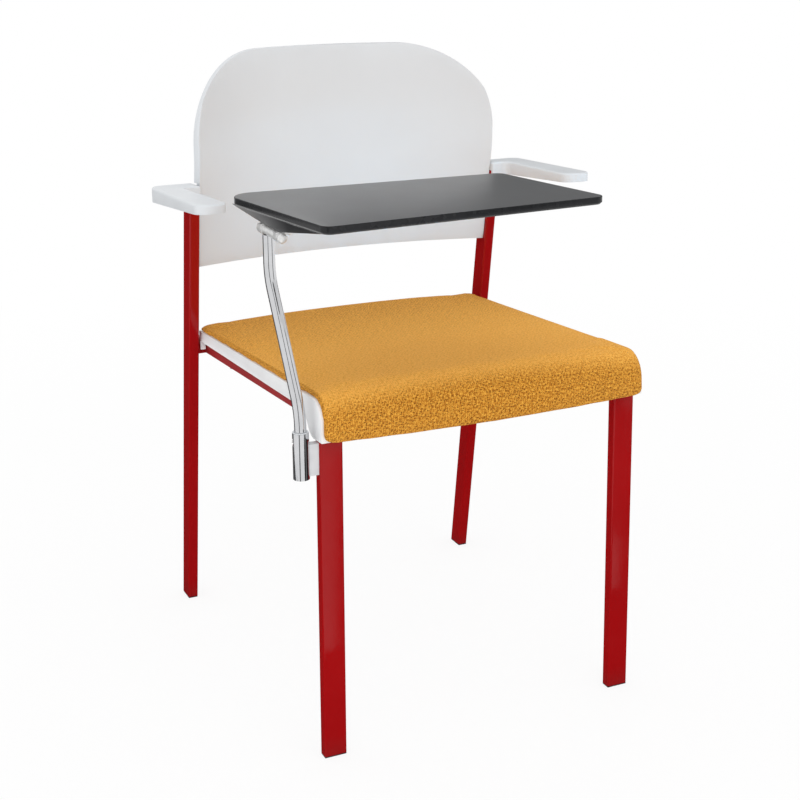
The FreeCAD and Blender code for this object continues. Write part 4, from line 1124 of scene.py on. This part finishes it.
# cards that only reflections see: a dark floor near the chair, dark strips for the
# metal, a grey one behind for the tablet and a pale one under it
cardLook = {
    "floorCards": [
        ((-1.2, -0.53), (1.1, -0.53), (1.1, 1.4), (-1.2, 1.4)),
        ((-2.2, 1.4), (1.1, 1.4), (1.1, 5.0), (-2.2, 5.0)),
        # two in front, each shading the far side of one front leg's face
        ((-0.097, -0.53), (0.228, -1.32), (0.680, -1.32), (0.290, -0.53)),
        ((0.386, -0.53), (0.898, -1.32), (1.600, -1.32), (1.100, -0.53)),
    ],
    "floorTone": 0.02,
    "floorLift": 0.001,
    "stripRadius": 0.9,
    "strips": [(-144, 24, 0.95), (-36, 14, 2.6), (48, 15, 2.0)],   # bearing, width, height
    "stripTone": 0.19,
    "backCard": ((0.32, 1.12), (2.60, 0.60), 0.55, 2.2, 0.20),  # ends, bottom, top, tone
    "underTone": 0.85,      # keeps the post from going dark below the tablet
    "underDrop": 0.001,
}


def plainRays(tree):
    # one for what is seen straight, in a mirror or through a clear thing, else nought
    ray = add(tree, "LightPath")
    seen = math2(tree, "MAXIMUM", ray.outputs["Is Camera Ray"], ray.outputs["Is Glossy Ray"])
    return math2(tree, "MAXIMUM", seen, ray.outputs["Is Transmission Ray"])


def makeFloor():
    look = stageLook
    bpy.ops.object.select_all(action="DESELECT")
    bpy.ops.mesh.primitive_plane_add(size=look["floorSize"], location=(0, 0, 0))
    floor = bpy.context.active_object
    floor.name = "studioFloor"
    material, tree, shader = startMaterial("pale studio floor")
    shader.inputs["Base Color"].default_value = (*look["floor"], 1.0)
    shader.inputs["Roughness"].default_value = 0.9
    shader.inputs["Specular IOR Level"].default_value = 0.0
    glow = add(tree, "Emission", Strength=1.0)
    # the floor is plain white further off, and keeps the shadow near the chair
    away = add(tree, "VectorMath", operation="LENGTH")
    join(tree, place(tree), away.inputs[0])
    whiter = spread(tree, away.outputs["Value"], look["near"], 1.0,
                    look["plainFrom"], look["plainTo"])
    share = math2(tree, "MULTIPLY", plainRays(tree), whiter)
    mixed = add(tree, "MixShader")
    join(tree, share, mixed.inputs[0])
    join(tree, shader.outputs[0], mixed.inputs[1])
    join(tree, glow.outputs[0], mixed.inputs[2])
    join(tree, mixed.outputs[0], tree.nodes["Material Output"].inputs["Surface"])
    floor.data.materials.append(material)


def makeWorld():
    world = bpy.data.worlds.new("studio")
    bpy.context.scene.world = world
    world.use_nodes = True
    tree = world.node_tree
    background = tree.nodes["Background"]
    level = spread(tree, plainRays(tree), stageLook["ambient"], 1.0, 0.0, 1.0)
    background.inputs["Color"].default_value = (1.0, 1.0, 1.0, 1.0)
    join(tree, level, background.inputs["Strength"])


def makeCard(name, corners, tone):
    bpy.ops.object.select_all(action="DESELECT")
    bpy.ops.mesh.primitive_plane_add(size=1.0)
    card = bpy.context.active_object
    card.name = name
    # a new plane's corners run in rows, not round its edge
    for vertex, corner in zip(card.data.vertices, (0, 1, 3, 2)):
        vertex.co = Vector(corners[corner])
    material, tree = startMaterial(name + " face")[:2]
    glow = add(tree, "Emission", Strength=1.0)
    glow.inputs["Color"].default_value = (tone, tone, tone, 1.0)
    join(tree, glow.outputs[0], tree.nodes["Material Output"].inputs["Surface"])
    card.data.materials.append(material)
    card.visible_camera = False
    card.visible_diffuse = False
    card.visible_shadow = False


def levelCard(name, outline, height, tone):
    makeCard(name, [(x, y, height) for x, y in outline], tone)


def uprightCard(name, start, end, bottom, top, tone):
    corners = [(*start, bottom), (*end, bottom), (*end, top), (*start, top)]
    makeCard(name, corners, tone)


def makeCards():
    look = cardLook
    for number, outline in enumerate(look["floorCards"]):
        levelCard(f"floorCard{number}", outline, look["floorLift"], look["floorTone"])
    low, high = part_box("tablet_post")
    middle = (low + high) / 2
    for number, (turn, width, top) in enumerate(look["strips"]):
        ends = []
        for side in (-0.5, 0.5):
            angle = math.radians(turn + side * width)
            ends.append((middle.x + look["stripRadius"] * math.sin(angle),
                         middle.y - look["stripRadius"] * math.cos(angle)))
        uprightCard(f"stripCard{number}", *ends, 0, top, look["stripTone"])
    low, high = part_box("tablet_board")
    outline = ((low.x, low.y), (high.x, low.y), (high.x, high.y), (low.x, high.y))
    levelCard("underCard", outline, low.z - look["underDrop"], look["underTone"])
    uprightCard("backCard", *look["backCard"])


def softBox(name, spot, target, width, height, power, tint=(1.0, 1.0, 1.0), fan=180):
    bpy.ops.object.select_all(action="DESELECT")
    bpy.ops.object.light_add(type="AREA", location=spot)
    lamp = bpy.context.active_object
    lamp.name = name
    lamp.data.shape = "RECTANGLE"
    lamp.data.size = width
    lamp.data.size_y = height
    lamp.data.energy = power
    lamp.visible_glossy = False     # metal shows the white room, not the lamps
    lamp.data.color = tint
    lamp.data.spread = math.radians(fan)
    aim = Vector(target) - Vector(spot)
    lamp.rotation_euler = aim.to_track_quat("-Z", "Y").to_euler()


def makeCamera():
    look = cameraLook
    bpy.ops.object.select_all(action="DESELECT")
    bpy.ops.object.camera_add(location=look["spot"])
    camera = bpy.context.active_object
    camera.rotation_euler = [math.radians(angle) for angle in look["turn"]]
    camera.data.lens = look["lens"]
    camera.data.sensor_width = look["sensor"]
    camera.data.shift_x, camera.data.shift_y = look["shift"]
    bpy.context.scene.camera = camera


makeFloor()
makeWorld()
makeCards()
for lampName, settings in lampLook.items():
    softBox(lampName, *settings)
makeCamera()
bpy.context.scene.view_settings.view_transform = "Standard"
print("stage set")
